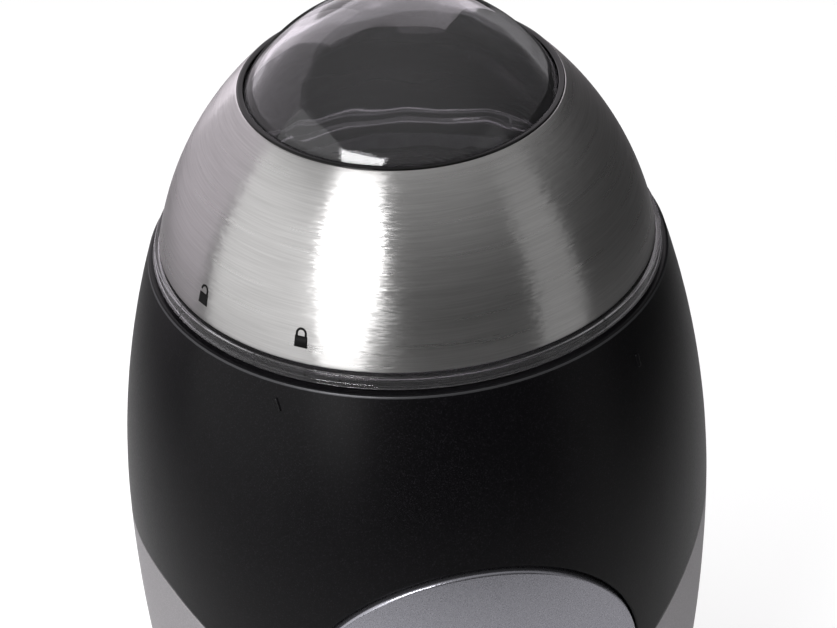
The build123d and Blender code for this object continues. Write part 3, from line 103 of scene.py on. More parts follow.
# ---- sizes of the finish only --------------------------------------------------------------------
WELD = 0.001                 # points closer together than this are one
CUT_SPARE = 1.0              # how far a cutter reaches past the wall that it cuts
SHARP_ANGLE = 30.0           # faces that meet at more than this keep a sharp edge
EDGE_SOFTNESS = 0.22         # rounding of moulded and pressed edges
SOFTEN_FROM = 25.0           # corners that turn less than this stay as they are
SOFTEN_SHARE = 0.45          # most that a rounded corner takes of the runs beside it
DOME_FOOT_DROP = 3.52        # inside of the cone ends this far below the dome's base
RIM_TOP_GAP = 0.3            # shadow line under the sleeve, below the CAD rim's top
LIP_OUT = 0.5                # lip round the foot of the rim, outside the CAD rim
LIP_T = 0.5                  # its upright edge
LIP_W = 0.35                 # its rounded step in to the rim
RIM_WALL = 1.1               # clear wall outside the groove under the rim
RIM_GROOVE = 1.4
RIM_GROOVE_TOP_Z = 143.9
RIB_SPAN = 0.5               # ribs across that groove
RIB_AZIMUTHS = (-73.0, -47.0, -34.0, -26.0, -5.0, 38.0, 95.0, 140.0, -150.0)
BEAD_H = 0.15                # bead on the window's seal
BLACK_EDGE = 0.7             # rounding of the painted edges at the seam, in the shading only
SILVER_EDGE = 0.4
SEAM_EDGE_TOP_Z = 110.0      # that rounding is full up to here
SEAM_EDGE_END_Z = 115.0      # and gone from here up
PAINTED_HIGHLIGHT_DROP = 0.35        # middle of the painted highlight line below the housing's top, a lighter, part-metallic band
PAINTED_HIGHLIGHT_W = 0.36
WINDOW_FADE = 10.0           # the window's waves die out over this height below the sleeve's top
PRINT_T = 0.04               # thickness of the printed padlocks
PADLOCK_Z = 147.8
PADLOCK_H = 1.95
PADLOCK_FOOT_W = 2.4
PADLOCK_TOP_W = 2.2
SHACKLE_R = 0.8
SHACKLE_STROKE = 0.38
SHACKLE_LEG = 0.4
OPEN_LIFT = 0.1              # how far the open padlock's shackle is raised
CLOSED_AZIMUTH = -35.3
OPEN_AZIMUTH = -64.5

# ---- how finely the meshes are divided -----------------------------------------------------------
SEGMENTS = 256               # round the main axis
SLEEVE_STEPS = 40
CONE_STEPS = 30
INNER_CONE_STEPS = 24
DOME_STEPS = 48
CORNER_STEPS = 4
LIP_STEPS = 6
BEAD_STEPS = 12
WEDGE_STEPS = 12
RIB_STEPS = 2
SHACKLE_STEPS = 16
PADLOCK_COLUMNS = 6
FLOOR_SIDES = 96


# ---- outlines ------------------------------------------------------------------------------------
def around(count, start=0.0):
    """Equally spaced angles round a full turn."""
    return [start + 360.0 * i / count for i in range(count)]


def polar(r, a, z):
    """Point at a radius, at an angle in radians from the front towards +X, and at a height."""
    return r * sin(a), -r * cos(a), z


def bow_through(r0, z0, r1, z1, rise):
    """Circle (centre r, centre z, radius) through two points, bulging outward by rise."""
    chord = hypot(r1 - r0, z1 - z0)
    radius = chord ** 2 / (8 * rise) + rise / 2
    depth = radius - rise
    return (r0 + r1) / 2 - depth * (z1 - z0) / chord, (z0 + z1) / 2 - depth * (r0 - r1) / chord, radius


def bow_r(bow, z, inset=0.0):
    """Radius from the main axis of a bow's circle, shrunk by inset, at a height."""
    return bow[0] + sqrt((bow[2] - inset) ** 2 - (z - bow[1]) ** 2)


def bow_line(bow, z0, z1, steps, inset=0.0):
    """Points along a bow's circle, shrunk by inset, from one height to another."""
    heights = [z0 + (z1 - z0) * i / steps for i in range(steps + 1)]
    return [(bow_r(bow, z, inset), z) for z in heights]


def dome_line(radius, centre_z, r_end, steps):
    """Points of a dome's outline from a radius inwards to the axis."""
    radii = [r_end * cos(pi / 2 * i / steps) for i in range(steps + 1)]
    return [(r, centre_z + sqrt(radius ** 2 - r ** 2)) for r in radii]


def softened(points, radius):
    """A closed outline with its corners rounded, as far as the runs beside them allow."""
    smooth = []
    count = len(points)
    for i in range(count):
        before, here, after = (Vector(points[(i + k) % count]) for k in (-1, 0, 1))
        back, on = before - here, after - here
        turn = pi - back.angle(on)
        if turn < radians(SOFTEN_FROM) or here.x < radius:
            smooth.append(tuple(here))
            continue
        reach = min(radius * sin(turn / 2) / cos(turn / 2), SOFTEN_SHARE * back.length,
                    SOFTEN_SHARE * on.length)
        start, end = here + back.normalized() * reach, here + on.normalized() * reach
        for step in range(CORNER_STEPS + 1):
            t = step / CORNER_STEPS
            smooth.append(tuple(start * (1 - t) ** 2 + here * 2 * t * (1 - t) + end * t ** 2))
    return smooth


SLEEVE_BOW = bow_through(SLEEVE_BOTTOM_R, SLEEVE_BOTTOM_Z, SLEEVE_TOP_R, SLEEVE_TOP_Z, SLEEVE_BULGE)
DOME_BASE_Z = SLEEVE_TOP_Z - DOME_DROP
DOME_RISE = DOME_TOP_Z - DOME_BASE_Z
DOME_SPHERE_R = (DOME_R ** 2 + DOME_RISE ** 2) / (2 * DOME_RISE)
DOME_CENTRE_Z = DOME_TOP_Z - DOME_SPHERE_R


# ---- meshes --------------------------------------------------------------------------------------
def shade(mesh):
    """Shades a mesh smooth, apart from its sharp edges."""
    mesh.shade_smooth()
    mesh.set_sharp_from_angle(angle=radians(SHARP_ANGLE))


def mesh_object(name, points, faces):
    """A smooth-shaded object from points in millimetres and faces."""
    mesh = bpy.data.meshes.new(name)
    mesh.from_pydata([[c * MM for c in p] for p in points], [], faces)
    clean = bmesh.new()
    clean.from_mesh(mesh)
    bmesh.ops.remove_doubles(clean, verts=clean.verts, dist=WELD * MM)
    bmesh.ops.recalc_face_normals(clean, faces=clean.faces)
    clean.to_mesh(mesh)
    clean.free()
    shade(mesh)
    piece = bpy.data.objects.new(name, mesh)
    bpy.context.scene.collection.objects.link(piece)
    return piece


def lathe(name, outline):
    """A closed (radius, height) outline turned round the main axis."""
    points, faces = [], []
    count = len(outline)
    for turn in range(SEGMENTS):
        points += [polar(r, 2 * pi * turn / SEGMENTS, z) for r, z in outline]
        this, following = turn * count, (turn + 1) % SEGMENTS * count
        for i in range(count):
            j = (i + 1) % count
            if max(outline[i][0], outline[j][0]) > WELD:
                faces.append((this + i, this + j, following + j, following + i))
    return mesh_object(name, points, faces)


def wedge(name, outer, inner, z0, z1, azimuth, span, steps=WEDGE_STEPS):
    """Part of an upright ring, span degrees wide and centred on an azimuth."""
    points, faces = [], []
    section = ((inner, z0), (outer, z0), (outer, z1), (inner, z1))
    for step in range(steps + 1):
        a = radians(azimuth + span * (step / steps - 0.5))
        points += [polar(r, a, z) for r, z in section]
    for near in range(0, 4 * steps, 4):
        for i in range(4):
            j = (i + 1) % 4
            faces.append((near + i, near + j, near + 4 + j, near + 4 + i))
    last = 4 * steps
    faces += [(3, 2, 1, 0), (last, last + 1, last + 2, last + 3)]
    return mesh_object(name, points, faces)


def combine(piece, tools, operation):
    """Unites tools with a piece, or cuts them out of it, and removes them."""
    for tool in tools:
        step = piece.modifiers.new(tool.name, "BOOLEAN")
        step.operation = operation
        step.solver = "EXACT"
        step.object = tool
    graph = bpy.context.evaluated_depsgraph_get()
    result = bpy.data.meshes.new_from_object(piece.evaluated_get(graph))
    piece.modifiers.clear()
    piece.data = result
    for tool in tools:
        bpy.data.objects.remove(tool)


# ---- node trees ----------------------------------------------------------------------------------
class Graph:
    """A node tree, with helpers that add nodes to it."""

    def __init__(self, tree):
        self.tree = tree

    def feed(self, node, inputs):
        """Gives each named or numbered input a plain value or another node's output."""
        for socket, value in inputs.items():
            if isinstance(value, bpy.types.NodeSocket):
                self.tree.links.new(value, node.inputs[socket])
            else:
                node.inputs[socket].default_value = value

    def add(self, kind, inputs=None, **settings):
        """A new node with its settings and inputs."""
        node = self.tree.nodes.new(kind)
        for setting, value in settings.items():
            setattr(node, setting, value)
        self.feed(node, inputs or {})
        return node

    def math(self, operation, *values):
        """Result of an operation on numbers and outputs."""
        return self.add("ShaderNodeMath", dict(enumerate(values)), operation=operation).outputs[0]

    def vector(self, operation, inputs):
        """Result of an operation on vectors."""
        return self.add("ShaderNodeVectorMath", inputs, operation=operation).outputs[0]

    def height(self, place):
        """The Z of a place."""
        return self.add("ShaderNodeSeparateXYZ", {"Vector": place}).outputs["Z"]

    def span(self, value, from_low, from_high, low, high, **settings):
        """A value mapped from one range to another, held at the ends."""
        inputs = {"Value": value, "From Min": from_low, "From Max": from_high, "To Min": low, "To Max": high}
        return self.add("ShaderNodeMapRange", inputs, **settings).outputs[0]

    def mixed(self, factor, first, second):
        """Colour that runs from the first, a plain colour or an output, to the second."""
        start = (*first, 1) if isinstance(first, tuple) else first
        # A mix of colours takes them on its inputs 6 and 7, and gives its result on output 2.
        mix = self.add("ShaderNodeMix", {0: factor, 6: start, 7: (*second, 1)}, data_type="RGBA")
        return mix.outputs[2]


# ---- materials -----------------------------------------------------------------------------------
FLECKS = 7500                # flecks of the paints per metre, along each axis
NOISE_REACH = 0.2            # most of a noise's values lie within this of a half
NARROW_REACH = 0.15          # a smaller reach gives a harder pattern
BRUSH_REACH = 0.3            # and a larger one a softer pattern
BRUSH_SWAY = 0.034           # sideways lean of the brushed steel's streaks
BEVEL_SAMPLES = 8


class Finish(Graph):
    """A material with one Principled shader and helpers for procedural detail."""

    def __init__(self, name, colour, roughness, **constants):
        self.material = bpy.data.materials.new(name)
        self.material.use_nodes = True
        super().__init__(self.material.node_tree)
        self.shader = self.tree.nodes["Principled BSDF"]
        self.feed(self.shader, {"Base Color": (*colour, 1), "Roughness": roughness})
        self.feed(self.shader, {socket.replace("_", " "): value for socket, value in constants.items()})
        self.place = self.add("ShaderNodeTexCoord").outputs["Object"]

    def stretched(self, stretch):
        """Object coordinates multiplied along X, Y and Z, per metre."""
        return self.vector("MULTIPLY", {0: self.place, 1: stretch})

    def noise(self, stretch, detail=2.0, roughness=0.5, distortion=0.0):
        """Noise with its features' counts per metre along X, Y and Z."""
        inputs = {"Vector": self.stretched(stretch), "Scale": 1.0, "Detail": detail,
                  "Roughness": roughness, "Distortion": distortion}
        return self.add("ShaderNodeTexNoise", inputs).outputs["Fac"]

    def spread(self, noise, low, high, reach=NOISE_REACH):
        """Noise whose values within reach of a half run from low to high."""
        return self.span(noise, 0.5 - reach, 0.5 + reach, low, high)

    def flecks(self, low):
        """Separate cells, each of a random brightness; those below low are dark."""
        inputs = {"Vector": self.stretched((FLECKS,) * 3), "Scale": 1.0}
        cells = self.add("ShaderNodeTexVoronoi", inputs, feature="F1")
        chance = self.add("ShaderNodeSeparateColor", {"Color": cells.outputs["Color"]}).outputs["Red"]
        return self.span(chance, low, 1.0, 0.0, 1.0)

    def blend(self, factor, first, second):
        """Base colour that runs from the first colour to the second."""
        self.feed(self.shader, {"Base Color": self.mixed(factor, first, second)})

    def rough(self, noise, low, high):
        """Roughness that runs from low to high."""
        self.feed(self.shader, {"Roughness": self.spread(noise, low, high)})

    def relief(self, bumps, depth, edge=0.0):
        """Bumps of a depth in millimetres, over edges at the seam that are rounded by a radius."""
        bump = self.add("ShaderNodeBump", {"Height": bumps, "Distance": depth * MM})
        if edge:
            top, end = SEAM_EDGE_TOP_Z * MM, SEAM_EDGE_END_Z * MM
            radius = self.span(self.height(self.place), top, end, edge * MM, 0.0)
            rounded = self.add("ShaderNodeBevel", {"Radius": radius}, samples=BEVEL_SAMPLES)
            self.feed(bump, {"Normal": rounded.outputs[0]})
        self.feed(self.shader, {"Normal": bump.outputs[0]})


def brushed_steel():
    """Stainless steel with fine brushing round the axis."""
    steel = Finish("brushed_steel", (0.66, 0.65, 0.645), 0.28, Metallic=1.0, Anisotropic=0.88,
                   Anisotropic_Rotation=0.25)
    fine = steel.noise((90, 90, 4100), distortion=0.4)
    steel.blend(steel.spread(fine, 0.0, 1.0), (0.605, 0.595, 0.59), (0.705, 0.695, 0.69))
    broad = steel.noise((30, 30, 900))
    steel.rough(broad, 0.27, 0.3)
    tangent = steel.add("ShaderNodeTangent", direction_type="RADIAL", axis="Z").outputs[0]
    normal = steel.add("ShaderNodeNewGeometry").outputs["Normal"]
    streaks = steel.noise((600, 600, 3800), distortion=0.1)
    sway = steel.spread(streaks, -BRUSH_SWAY, BRUSH_SWAY, BRUSH_REACH)
    lean = steel.vector("ADD", {0: normal, 1: steel.vector("SCALE", {0: tangent, "Scale": sway})})
    steel.feed(steel.shader, {"Tangent": tangent, "Normal": steel.vector("NORMALIZE", {0: lean})})
    return steel.material


def clear_plastic():
    """Slightly smoky clear moulding, faintly uneven in its domed window."""
    clear = Finish("clear_plastic", (0.47, 0.46, 0.48), 0.02, IOR=1.49, Transmission_Weight=0.97)
    fade_z = SLEEVE_TOP_Z - WINDOW_FADE
    window = clear.span(clear.height(clear.place), fade_z * MM, SLEEVE_TOP_Z * MM, 0.0, 1.0)
    waves = clear.noise((75, 75, 75), detail=1.0, roughness=0.4)
    scuffs = clear.noise((900, 900, 900), detail=3.0, roughness=0.7)
    clear.rough(scuffs, 0.012, 0.05)
    clear.relief(clear.math("MULTIPLY", waves, window), depth=0.7)
    return clear.material


def satin_black():
    """Black satin paint with a fine metallic fleck, and a painted highlight line along the housing's top
    edge.
    """
    black = Finish("satin_black", (0.0025, 0.0025, 0.003), 0.4, IOR=1.5, Specular_IOR_Level=0.17)
    paint = black.mixed(black.flecks(0.85), (0.0024, 0.0022, 0.0028), (0.012, 0.011, 0.0135))
    # painted highlight: a lighter, part-metallic band along the top edge's rounding stands in for the light
    # that edge catches
    painted_highlight_z = BODY_TOP_Z - PAINTED_HIGHLIGHT_DROP
    painted_highlight = black.math("COMPARE", black.height(black.place), painted_highlight_z * MM, PAINTED_HIGHLIGHT_W / 2 * MM)
    black.blend(painted_highlight, paint, (0.06, 0.06, 0.064))
    black.feed(black.shader, {"Metallic": black.span(painted_highlight, 0.0, 1.0, 0.0, 0.45)})
    grain = black.noise((2600, 2600, 2600))
    black.rough(grain, 0.29, 0.35)
    black.relief(grain, depth=0.01, edge=BLACK_EDGE)
    return black.material


def silver_paint(name, colour, bright, roughness, metallic, depth, edge=0.0):
    """Satin silver paint with a fine metallic fleck."""
    silver = Finish(name, colour, roughness, Metallic=metallic)
    silver.blend(silver.flecks(0.5), colour, bright)
    grain = silver.noise((2400, 2400, 2400))
    silver.rough(grain, roughness - 0.015, roughness + 0.015)
    silver.relief(grain, depth, edge)
    return silver.material


def rubber(name, colour, roughness, gloss=0.5):
    """Smooth elastomer, slightly mottled."""
    soft = Finish(name, colour, roughness, IOR=1.5, Specular_IOR_Level=gloss)
    mottle = soft.noise((500, 500, 500), detail=3.0)
    soft.blend(soft.spread(mottle, 0.0, 1.0, NARROW_REACH), colour, tuple(1.25 * c for c in colour))
    soft.rough(mottle, roughness - 0.06, roughness + 0.06)
    soft.relief(mottle, depth=0.01)
    return soft.material


def moulded(name, colour, roughness):
    """Moulded plastic with a fine matt texture."""
    plastic = Finish(name, colour, roughness, IOR=1.46)
    texture = plastic.noise((1800, 1800, 1800))
    plastic.blend(plastic.spread(texture, 0.0, 1.0, NARROW_REACH), colour, tuple(1.15 * c for c in colour))
    plastic.rough(texture, roughness - 0.05, roughness + 0.08)
    plastic.relief(texture, depth=0.015)
    return plastic.material


def metal(name, colour, roughness, stretch=(900, 900, 900), depth=0.01):
    """Bare metal with a machined, cast or drawn texture."""
    bare = Finish(name, colour, roughness, Metallic=1.0)
    texture = bare.noise(stretch, detail=3.0, roughness=0.6)
    bare.blend(bare.spread(texture, 0.0, 1.0), tuple(0.85 * c for c in colour), colour)
    bare.rough(texture, roughness - 0.06, roughness + 0.08)
    bare.relief(texture, depth)
    return bare.material


def copper_windings():
    """Enamelled copper wire lying in bundles."""
    wire = Finish("copper", (0.62, 0.26, 0.11), 0.3, Metallic=0.9, Coat_Weight=0.5)
    strands = wire.noise((300, 300, 2600))
    wire.blend(wire.spread(strands, 0.0, 1.0, NARROW_REACH), (0.34, 0.12, 0.05), (0.7, 0.32, 0.14))
    wire.rough(strands, 0.25, 0.4)
    wire.relief(strands, depth=0.12)
    return wire.material


MATERIALS = {
    "clear_plastic": clear_plastic(),
    "brushed_steel": brushed_steel(),
    "satin_black": satin_black(),
    "silver_paint": silver_paint("silver_paint", (0.4, 0.385, 0.4), (0.5, 0.48, 0.5),
                                 roughness=0.42, metallic=0.75, depth=0.002, edge=SILVER_EDGE),
    "silver_button": silver_paint("silver_button", (0.42, 0.415, 0.46), (0.45, 0.445, 0.49),
                                  roughness=0.27, metallic=0.95, depth=0.0004),
    "black_rubber": rubber("black_rubber", (0.008, 0.008, 0.008), 0.22),
    "gloss_rubber": rubber("gloss_rubber", (0.003, 0.003, 0.003), 0.12, 0.3),
    "grey_silicone": rubber("grey_silicone", (0.42, 0.43, 0.44), 0.5),
    "dark_plastic": moulded("dark_plastic", (0.014, 0.014, 0.015), 0.5),
    "white_plastic": moulded("white_plastic", (0.7, 0.7, 0.67), 0.45),
    "spring_steel": metal("spring_steel", (0.55, 0.55, 0.57), 0.25, (1500, 1500, 1500)),
    "screw_steel": metal("screw_steel", (0.58, 0.58, 0.59), 0.3),
    "stainless": metal("stainless", (0.62, 0.615, 0.61), 0.24, (60, 60, 2600), 0.005),
    "lamination_steel": metal("lamination_steel", (0.3, 0.3, 0.31), 0.45, (20, 20, 2000), 0.05),
    "copper": copper_windings(),
    "cast_metal": metal("cast_metal", (0.52, 0.52, 0.53), 0.5, (700, 700, 700), 0.04),
    "bronze": metal("bronze", (0.6, 0.42, 0.2), 0.4),
    "carbon": moulded("carbon", (0.02, 0.02, 0.02), 0.7),
    "mark_ink": rubber("mark_ink", (0.005, 0.005, 0.005), 0.5, 0.1),
}


# ---- pieces --------------------------------------------------------------------------------------
def finish_nodes():
    """Gives every CAD node the material of its slot."""
    for part in frame["record"]["subparts"]:
        material = MATERIALS[part["material_slot"]]
        mesh = NODES[part["node"]].data
        mesh.materials.clear()
        mesh.materials.append(material)


def dress(piece, slot, body, *nodes):
    """Finishes a modelled piece, lets it ride on a body and stand for CAD nodes."""
    piece.data.materials.append(MATERIALS[slot])
    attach(piece, body)
    if nodes:
        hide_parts(*nodes)
    return piece


def lid_sleeve():
    """Brushed steel sleeve with softly broken edges."""
    outer = bow_line(SLEEVE_BOW, SLEEVE_BOTTOM_Z, SLEEVE_TOP_Z, SLEEVE_STEPS)
    inner = bow_line(SLEEVE_BOW, SLEEVE_TOP_Z, SLEEVE_BOTTOM_Z, SLEEVE_STEPS, SLEEVE_T)
    outline = softened(outer + inner, EDGE_SOFTNESS)
    return dress(lathe("lid_sleeve_brushed", outline), "brushed_steel", "lid", "lid_sleeve")


def rim_lip(lip_r):
    """Rounded step from the top of the lip's upright edge in to the rim."""
    turns = [pi / 2 * step / LIP_STEPS for step in range(LIP_STEPS + 1)]
    return [(lip_r - LIP_W * sin(a), RIM_BOTTOM_Z + LIP_T + LIP_W * (1 - cos(a))) for a in turns]


def lid_outline():
    """Closed outline of the clear lid: dome, cone, grooved rim, skirt and seal shelf."""
    outer_inset = SLEEVE_T + SLEEVE_GAP
    inner_inset = outer_inset + LID_WALL
    inner_dome_r = DOME_SPHERE_R - DOME_WALL
    cone_top_z = SLEEVE_TOP_Z - GROOVE_DEPTH
    inner_top_z = DOME_BASE_Z - DOME_FOOT_DROP
    inner_end = bow_r(SLEEVE_BOW, inner_top_z, inner_inset)
    shelf_top = SHELF_Z + SHELF_T
    outline = bow_line(SLEEVE_BOW, RIM_TOP_Z, cone_top_z, CONE_STEPS, outer_inset)
    outline.append((DOME_R, cone_top_z))
    outline += dome_line(DOME_SPHERE_R, DOME_CENTRE_Z, DOME_R, DOME_STEPS)
    outline += dome_line(inner_dome_r, DOME_CENTRE_Z, inner_end, DOME_STEPS)[::-1]
    outline += bow_line(SLEEVE_BOW, inner_top_z, shelf_top + SHELF_RAMP, INNER_CONE_STEPS, inner_inset)[1:]
    lip_r = RIM_R + LIP_OUT
    groove_out_r = lip_r - RIM_WALL
    groove_in_r = groove_out_r - RIM_GROOVE
    outline += [(SHELF_R, shelf_top), (SHELF_R, SHELF_Z), (SKIRT_IN_R, SHELF_Z),
                (SKIRT_IN_R, SKIRT_BOTTOM_Z), (SKIRT_R, SKIRT_BOTTOM_Z), (SKIRT_R, RIM_BOTTOM_Z),
                (groove_in_r, RIM_BOTTOM_Z), (groove_in_r, RIM_GROOVE_TOP_Z),
                (groove_out_r, RIM_GROOVE_TOP_Z), (groove_out_r, RIM_BOTTOM_Z), (lip_r, RIM_BOTTOM_Z)]
    rim_top = RIM_TOP_Z - RIM_TOP_GAP
    rim_in_r = bow_r(SLEEVE_BOW, RIM_TOP_Z, outer_inset)
    return outline + rim_lip(lip_r) + [(lip_r - LIP_W, rim_top), (rim_in_r, rim_top)]


def lid_shell():
    """Clear lid with its bayonet lugs, notches for the ring's dogs and ribs across the rim's groove."""
    lid = lathe("lid_shell_clear", softened(lid_outline(), EDGE_SOFTNESS))
    lugs = [wedge("lug", LUG_R, (SKIRT_R + SKIRT_IN_R) / 2, LUG_Z, LUG_Z + LUG_H, azimuth, LUG_SPAN)
            for azimuth in around(LUG_COUNT, LUG_AZIMUTH)]
    groove_r = RIM_R + LIP_OUT - RIM_WALL - RIM_GROOVE / 2
    rib_bottom_z, rib_top_z = RIM_BOTTOM_Z + EDGE_SOFTNESS, RIM_GROOVE_TOP_Z + EDGE_SOFTNESS
    ribs = [wedge("rib", groove_r + RIM_GROOVE, groove_r - RIM_GROOVE, rib_bottom_z, rib_top_z,
                  azimuth, RIB_SPAN, RIB_STEPS) for azimuth in RIB_AZIMUTHS]
    combine(lid, lugs + ribs, "UNION")
    notch_r, notch_in_r, notch_z = SKIRT_R + CUT_SPARE, SKIRT_IN_R - CUT_SPARE, SKIRT_BOTTOM_Z - CUT_SPARE
    notches = [wedge("notch", notch_r, notch_in_r, notch_z, NOTCH_TOP_Z, azimuth, NOTCH_SPAN)
               for azimuth in around(LUG_COUNT, LUG_AZIMUTH + DOG_OFFSET)]
    combine(lid, notches, "DIFFERENCE")
    shade(lid.data)
    return dress(lid, "clear_plastic", "lid", "lid_shell")


def window_gasket():
    """Glossy black ring between the window and the sleeve, with a rolled bead against the dome."""
    outer = SLEEVE_TOP_R - GASKET_GAP
    inner = DOME_R + GASKET_GAP
    bottom = SLEEVE_TOP_Z - GROOVE_DEPTH
    top = SLEEVE_TOP_Z + GASKET_PROUD
    middle = (outer + inner) / 2
    half = outer - middle
    outline = [(inner, bottom), (outer, bottom), (outer, top)]
    for step in range(1, BEAD_STEPS):
        a = pi * step / BEAD_STEPS
        outline.append((middle + half * cos(a), top + BEAD_H * sin(a)))
    dome_z = DOME_CENTRE_Z + sqrt((DOME_SPHERE_R + GASKET_GAP) ** 2 - (middle - half) ** 2)
    outline += [(middle - half, dome_z), (inner, DOME_BASE_Z + GASKET_GAP)]
    ring = lathe("window_gasket_ring", outline)
    dress(ring, "black_rubber", "lid", "window_gasket")
    ring.data.materials[0] = MATERIALS["gloss_rubber"]
    return ring


def arch(left_leg, right_leg):
    """Pairs of inner and outer points (across, up) along a padlock's shackle, from its left foot."""
    inner, outer = SHACKLE_R - SHACKLE_STROKE / 2, SHACKLE_R + SHACKLE_STROKE / 2
    turns = [pi * (1 - step / SHACKLE_STEPS) for step in range(SHACKLE_STEPS + 1)]
    bend = [((inner * cos(a), inner * sin(a)), (outer * cos(a), outer * sin(a))) for a in turns]
    left_foot = ((-inner, -left_leg), (-outer, -left_leg))
    right_foot = ((inner, -right_leg), (outer, -right_leg))
    return [left_foot, *bend, right_foot]


def padlock(name, azimuth, lift, left_leg):
    """Small printed padlock that follows the sleeve's surface; lift and left leg open its shackle."""
    right_leg = SHACKLE_LEG + lift
    body = [((-half, up), (half, up)) for half, up in
            ((PADLOCK_FOOT_W / 2, 0.0), (PADLOCK_TOP_W / 2, PADLOCK_H))]
    shackle = [[(x, up + PADLOCK_H + right_leg) for x, up in pair] for pair in arch(left_leg, right_leg)]
    points, faces = [], []
    for strip, columns in ((body, PADLOCK_COLUMNS), (shackle, 1)):
        first = len(points)
        for left, right in strip:
            for i in range(columns + 1):
                across, up = (left[k] + (right[k] - left[k]) * i / columns for k in (0, 1))
                z = PADLOCK_Z + up
                r = bow_r(SLEEVE_BOW, z) + PRINT_T / 2
                points.append(polar(r, radians(azimuth) + across / r, z))
        row = columns + 1
        for level in range(len(strip) - 1):
            for i in range(columns):
                near = first + level * row + i
                faces.append((near, near + 1, near + row + 1, near + row))
    mark = mesh_object(name, points, faces)
    ink = mark.modifiers.new("ink", "SOLIDIFY")
    ink.thickness = PRINT_T * MM
    ink.offset = 0
    mark.data.materials.append(MATERIALS["mark_ink"])
    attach(mark, "lid")


# ---- studio --------------------------------------------------------------------------------------
FLOOR_R = 400.0
FLOOR_FADE_R = 120.0         # the floor fades into the background from here outwards
FLOOR_COLOUR = 0.5
FLOOR_ROUGHNESS = 0.9
FLOOR_GLOW = 0.7             # what lifts the floor to white for the camera
FLOOR_GLOSS_GLOW = 0.1       # the same in reflections
ROOM_LOW = 0.04              # the dim room that the metal reflects, at the horizon and overhead
ROOM_HIGH = 0.42
ROOM_RISE = 0.2              # sine of the elevation from which the room gets lighter
ROOM_GLASS = 0.42            # how light the background is behind clear plastic
TARGET_Z = 120.0             # height that the lamps point at

# name, azimuth, elevation, distance, width, height, watts, colour, and whether it can be seen itself
NEUTRAL = (1.0, 1.0, 1.0)
LILAC = (1.0, 0.93, 1.0)
SOFTBOXES = (
    ("key", -39.7, 8.0, 700.0, 245.0, 440.0, 0.82, NEUTRAL, True),
    ("key_core", -38.7, 30.0, 700.0, 315.0, 147.0, 2.3, NEUTRAL, True),
    ("left_near", -80.0, 9.0, 800.0, 815.0, 900.0, 1.95, NEUTRAL, True),
    ("left_far", -142.0, 10.0, 900.0, 1120.0, 950.0, 1.75, LILAC, True),
    ("back_panel", 178.0, 22.0, 900.0, 900.0, 1000.0, 2.4, LILAC, True),
    ("right_panel", 58.0, 0.0, 900.0, 390.0, 1100.0, 0.31, NEUTRAL, True),
    ("overhead", -55.0, 60.0, 900.0, 600.0, 600.0, 3.6, NEUTRAL, False),
)

CAMERA_PLACE = (-79.1, -456.2, 450.1)
CAMERA_AZIMUTH = -10.0
CAMERA_ELEVATION = 34.94
CAMERA_ROLL = -2.49
CAMERA_LENS = 137.63         # on a sensor 36 mm wide


def direction(azimuth, elevation):
    """Unit vector from the object towards an azimuth and elevation."""
    a, e = radians(azimuth), radians(elevation)
    return Vector(polar(cos(e), a, sin(e)))


def seen_by(graph, camera_level, glass_level, gloss_level):
    """Strength that depends on the kind of ray: camera, transmission and gloss; zero for the rest."""
    rays = graph.add("ShaderNodeLightPath").outputs
    seen = graph.math("MULTIPLY", rays["Is Camera Ray"], camera_level)
    for ray, level in (("Is Transmission Ray", glass_level), ("Is Glossy Ray", gloss_level)):
        seen = graph.math("MAXIMUM", seen, graph.math("MULTIPLY", rays[ray], level))
    return seen


def floor():
    """Plain pale table top that shows white and keeps the object's shadow."""
    edge = [polar(FLOOR_R, radians(a), 0) for a in around(FLOOR_SIDES)]
    plane = mesh_object("floor", edge, [tuple(range(FLOOR_SIDES))])
    pale = Finish("pale_floor", (FLOOR_COLOUR,) * 3, FLOOR_ROUGHNESS, Emission_Color=(1, 1, 1, 1))
    reach = pale.add("ShaderNodeVectorMath", {0: pale.place}, operation="LENGTH").outputs["Value"]
    fade = pale.span(reach, FLOOR_FADE_R * MM, FLOOR_R * MM, 1.0, 0.0, interpolation_type="SMOOTHSTEP")
    glow = seen_by(pale, FLOOR_GLOW, FLOOR_GLOW, FLOOR_GLOSS_GLOW)
    pale.feed(pale.shader, {"Emission Strength": glow, "Alpha": fade})
    plane.data.materials.append(pale.material)


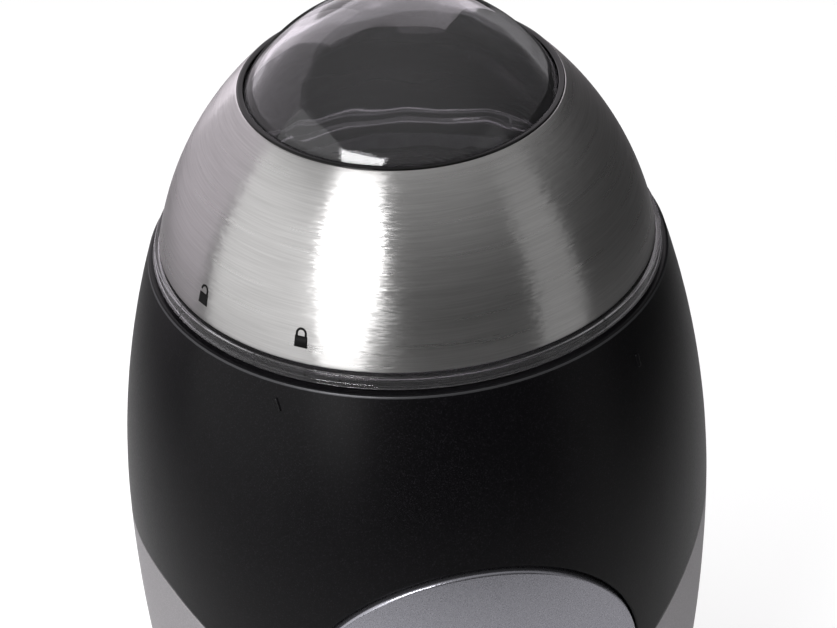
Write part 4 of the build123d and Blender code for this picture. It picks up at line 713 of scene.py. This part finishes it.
def room():
    """Dim room, lighter overhead, that the camera sees as white."""
    world = bpy.data.worlds.new("room")
    bpy.context.scene.world = world
    world.use_nodes = True
    graph = Graph(world.node_tree)
    sky = graph.add("ShaderNodeTexCoord").outputs["Generated"]
    wall = graph.span(graph.height(sky), ROOM_RISE, 1.0, ROOM_LOW, ROOM_HIGH)
    level = graph.math("MAXIMUM", wall, seen_by(graph, 1.0, ROOM_GLASS, ROOM_LOW))
    graph.feed(world.node_tree.nodes["Background"], {"Color": (1, 1, 1, 1), "Strength": level})


def softbox(name, azimuth, elevation, distance, width, height, watts, colour, reflected):
    """Rectangular area lamp that points at the object."""
    lamp = bpy.data.lights.new(name, "AREA")
    lamp.shape = "RECTANGLE"
    lamp.size = width * MM
    lamp.size_y = height * MM
    lamp.energy = watts
    lamp.color = colour
    holder = bpy.data.objects.new(name, lamp)
    away = direction(azimuth, elevation)
    holder.location = Vector((0, 0, TARGET_Z)) * MM + away * distance * MM
    holder.rotation_euler = away.to_track_quat("Z", "Y").to_euler()
    holder.visible_glossy = reflected
    holder.visible_transmission = reflected
    bpy.context.scene.collection.objects.link(holder)


def camera():
    """Camera at the height and angle from which the object is seen."""
    view = bpy.data.cameras.new("camera")
    view.lens = CAMERA_LENS
    holder = bpy.data.objects.new("camera", view)
    back = direction(CAMERA_AZIMUTH, CAMERA_ELEVATION)
    level = back.to_track_quat("Z", "Y")
    holder.rotation_mode = "QUATERNION"
    holder.rotation_quaternion = level @ Matrix.Rotation(radians(CAMERA_ROLL), 3, "Z").to_quaternion()
    holder.location = Vector(CAMERA_PLACE) * MM
    bpy.context.scene.collection.objects.link(holder)
    bpy.context.scene.camera = holder


finish_nodes()
lid_sleeve()
lid_shell()
window_gasket()
padlock("padlock_closed", CLOSED_AZIMUTH, 0.0, SHACKLE_LEG)
padlock("padlock_open", OPEN_AZIMUTH, OPEN_LIFT, 0.0)
floor()
room()
for box in SOFTBOXES:
    softbox(*box)
camera()
bpy.context.scene.view_settings.view_transform = "Standard"
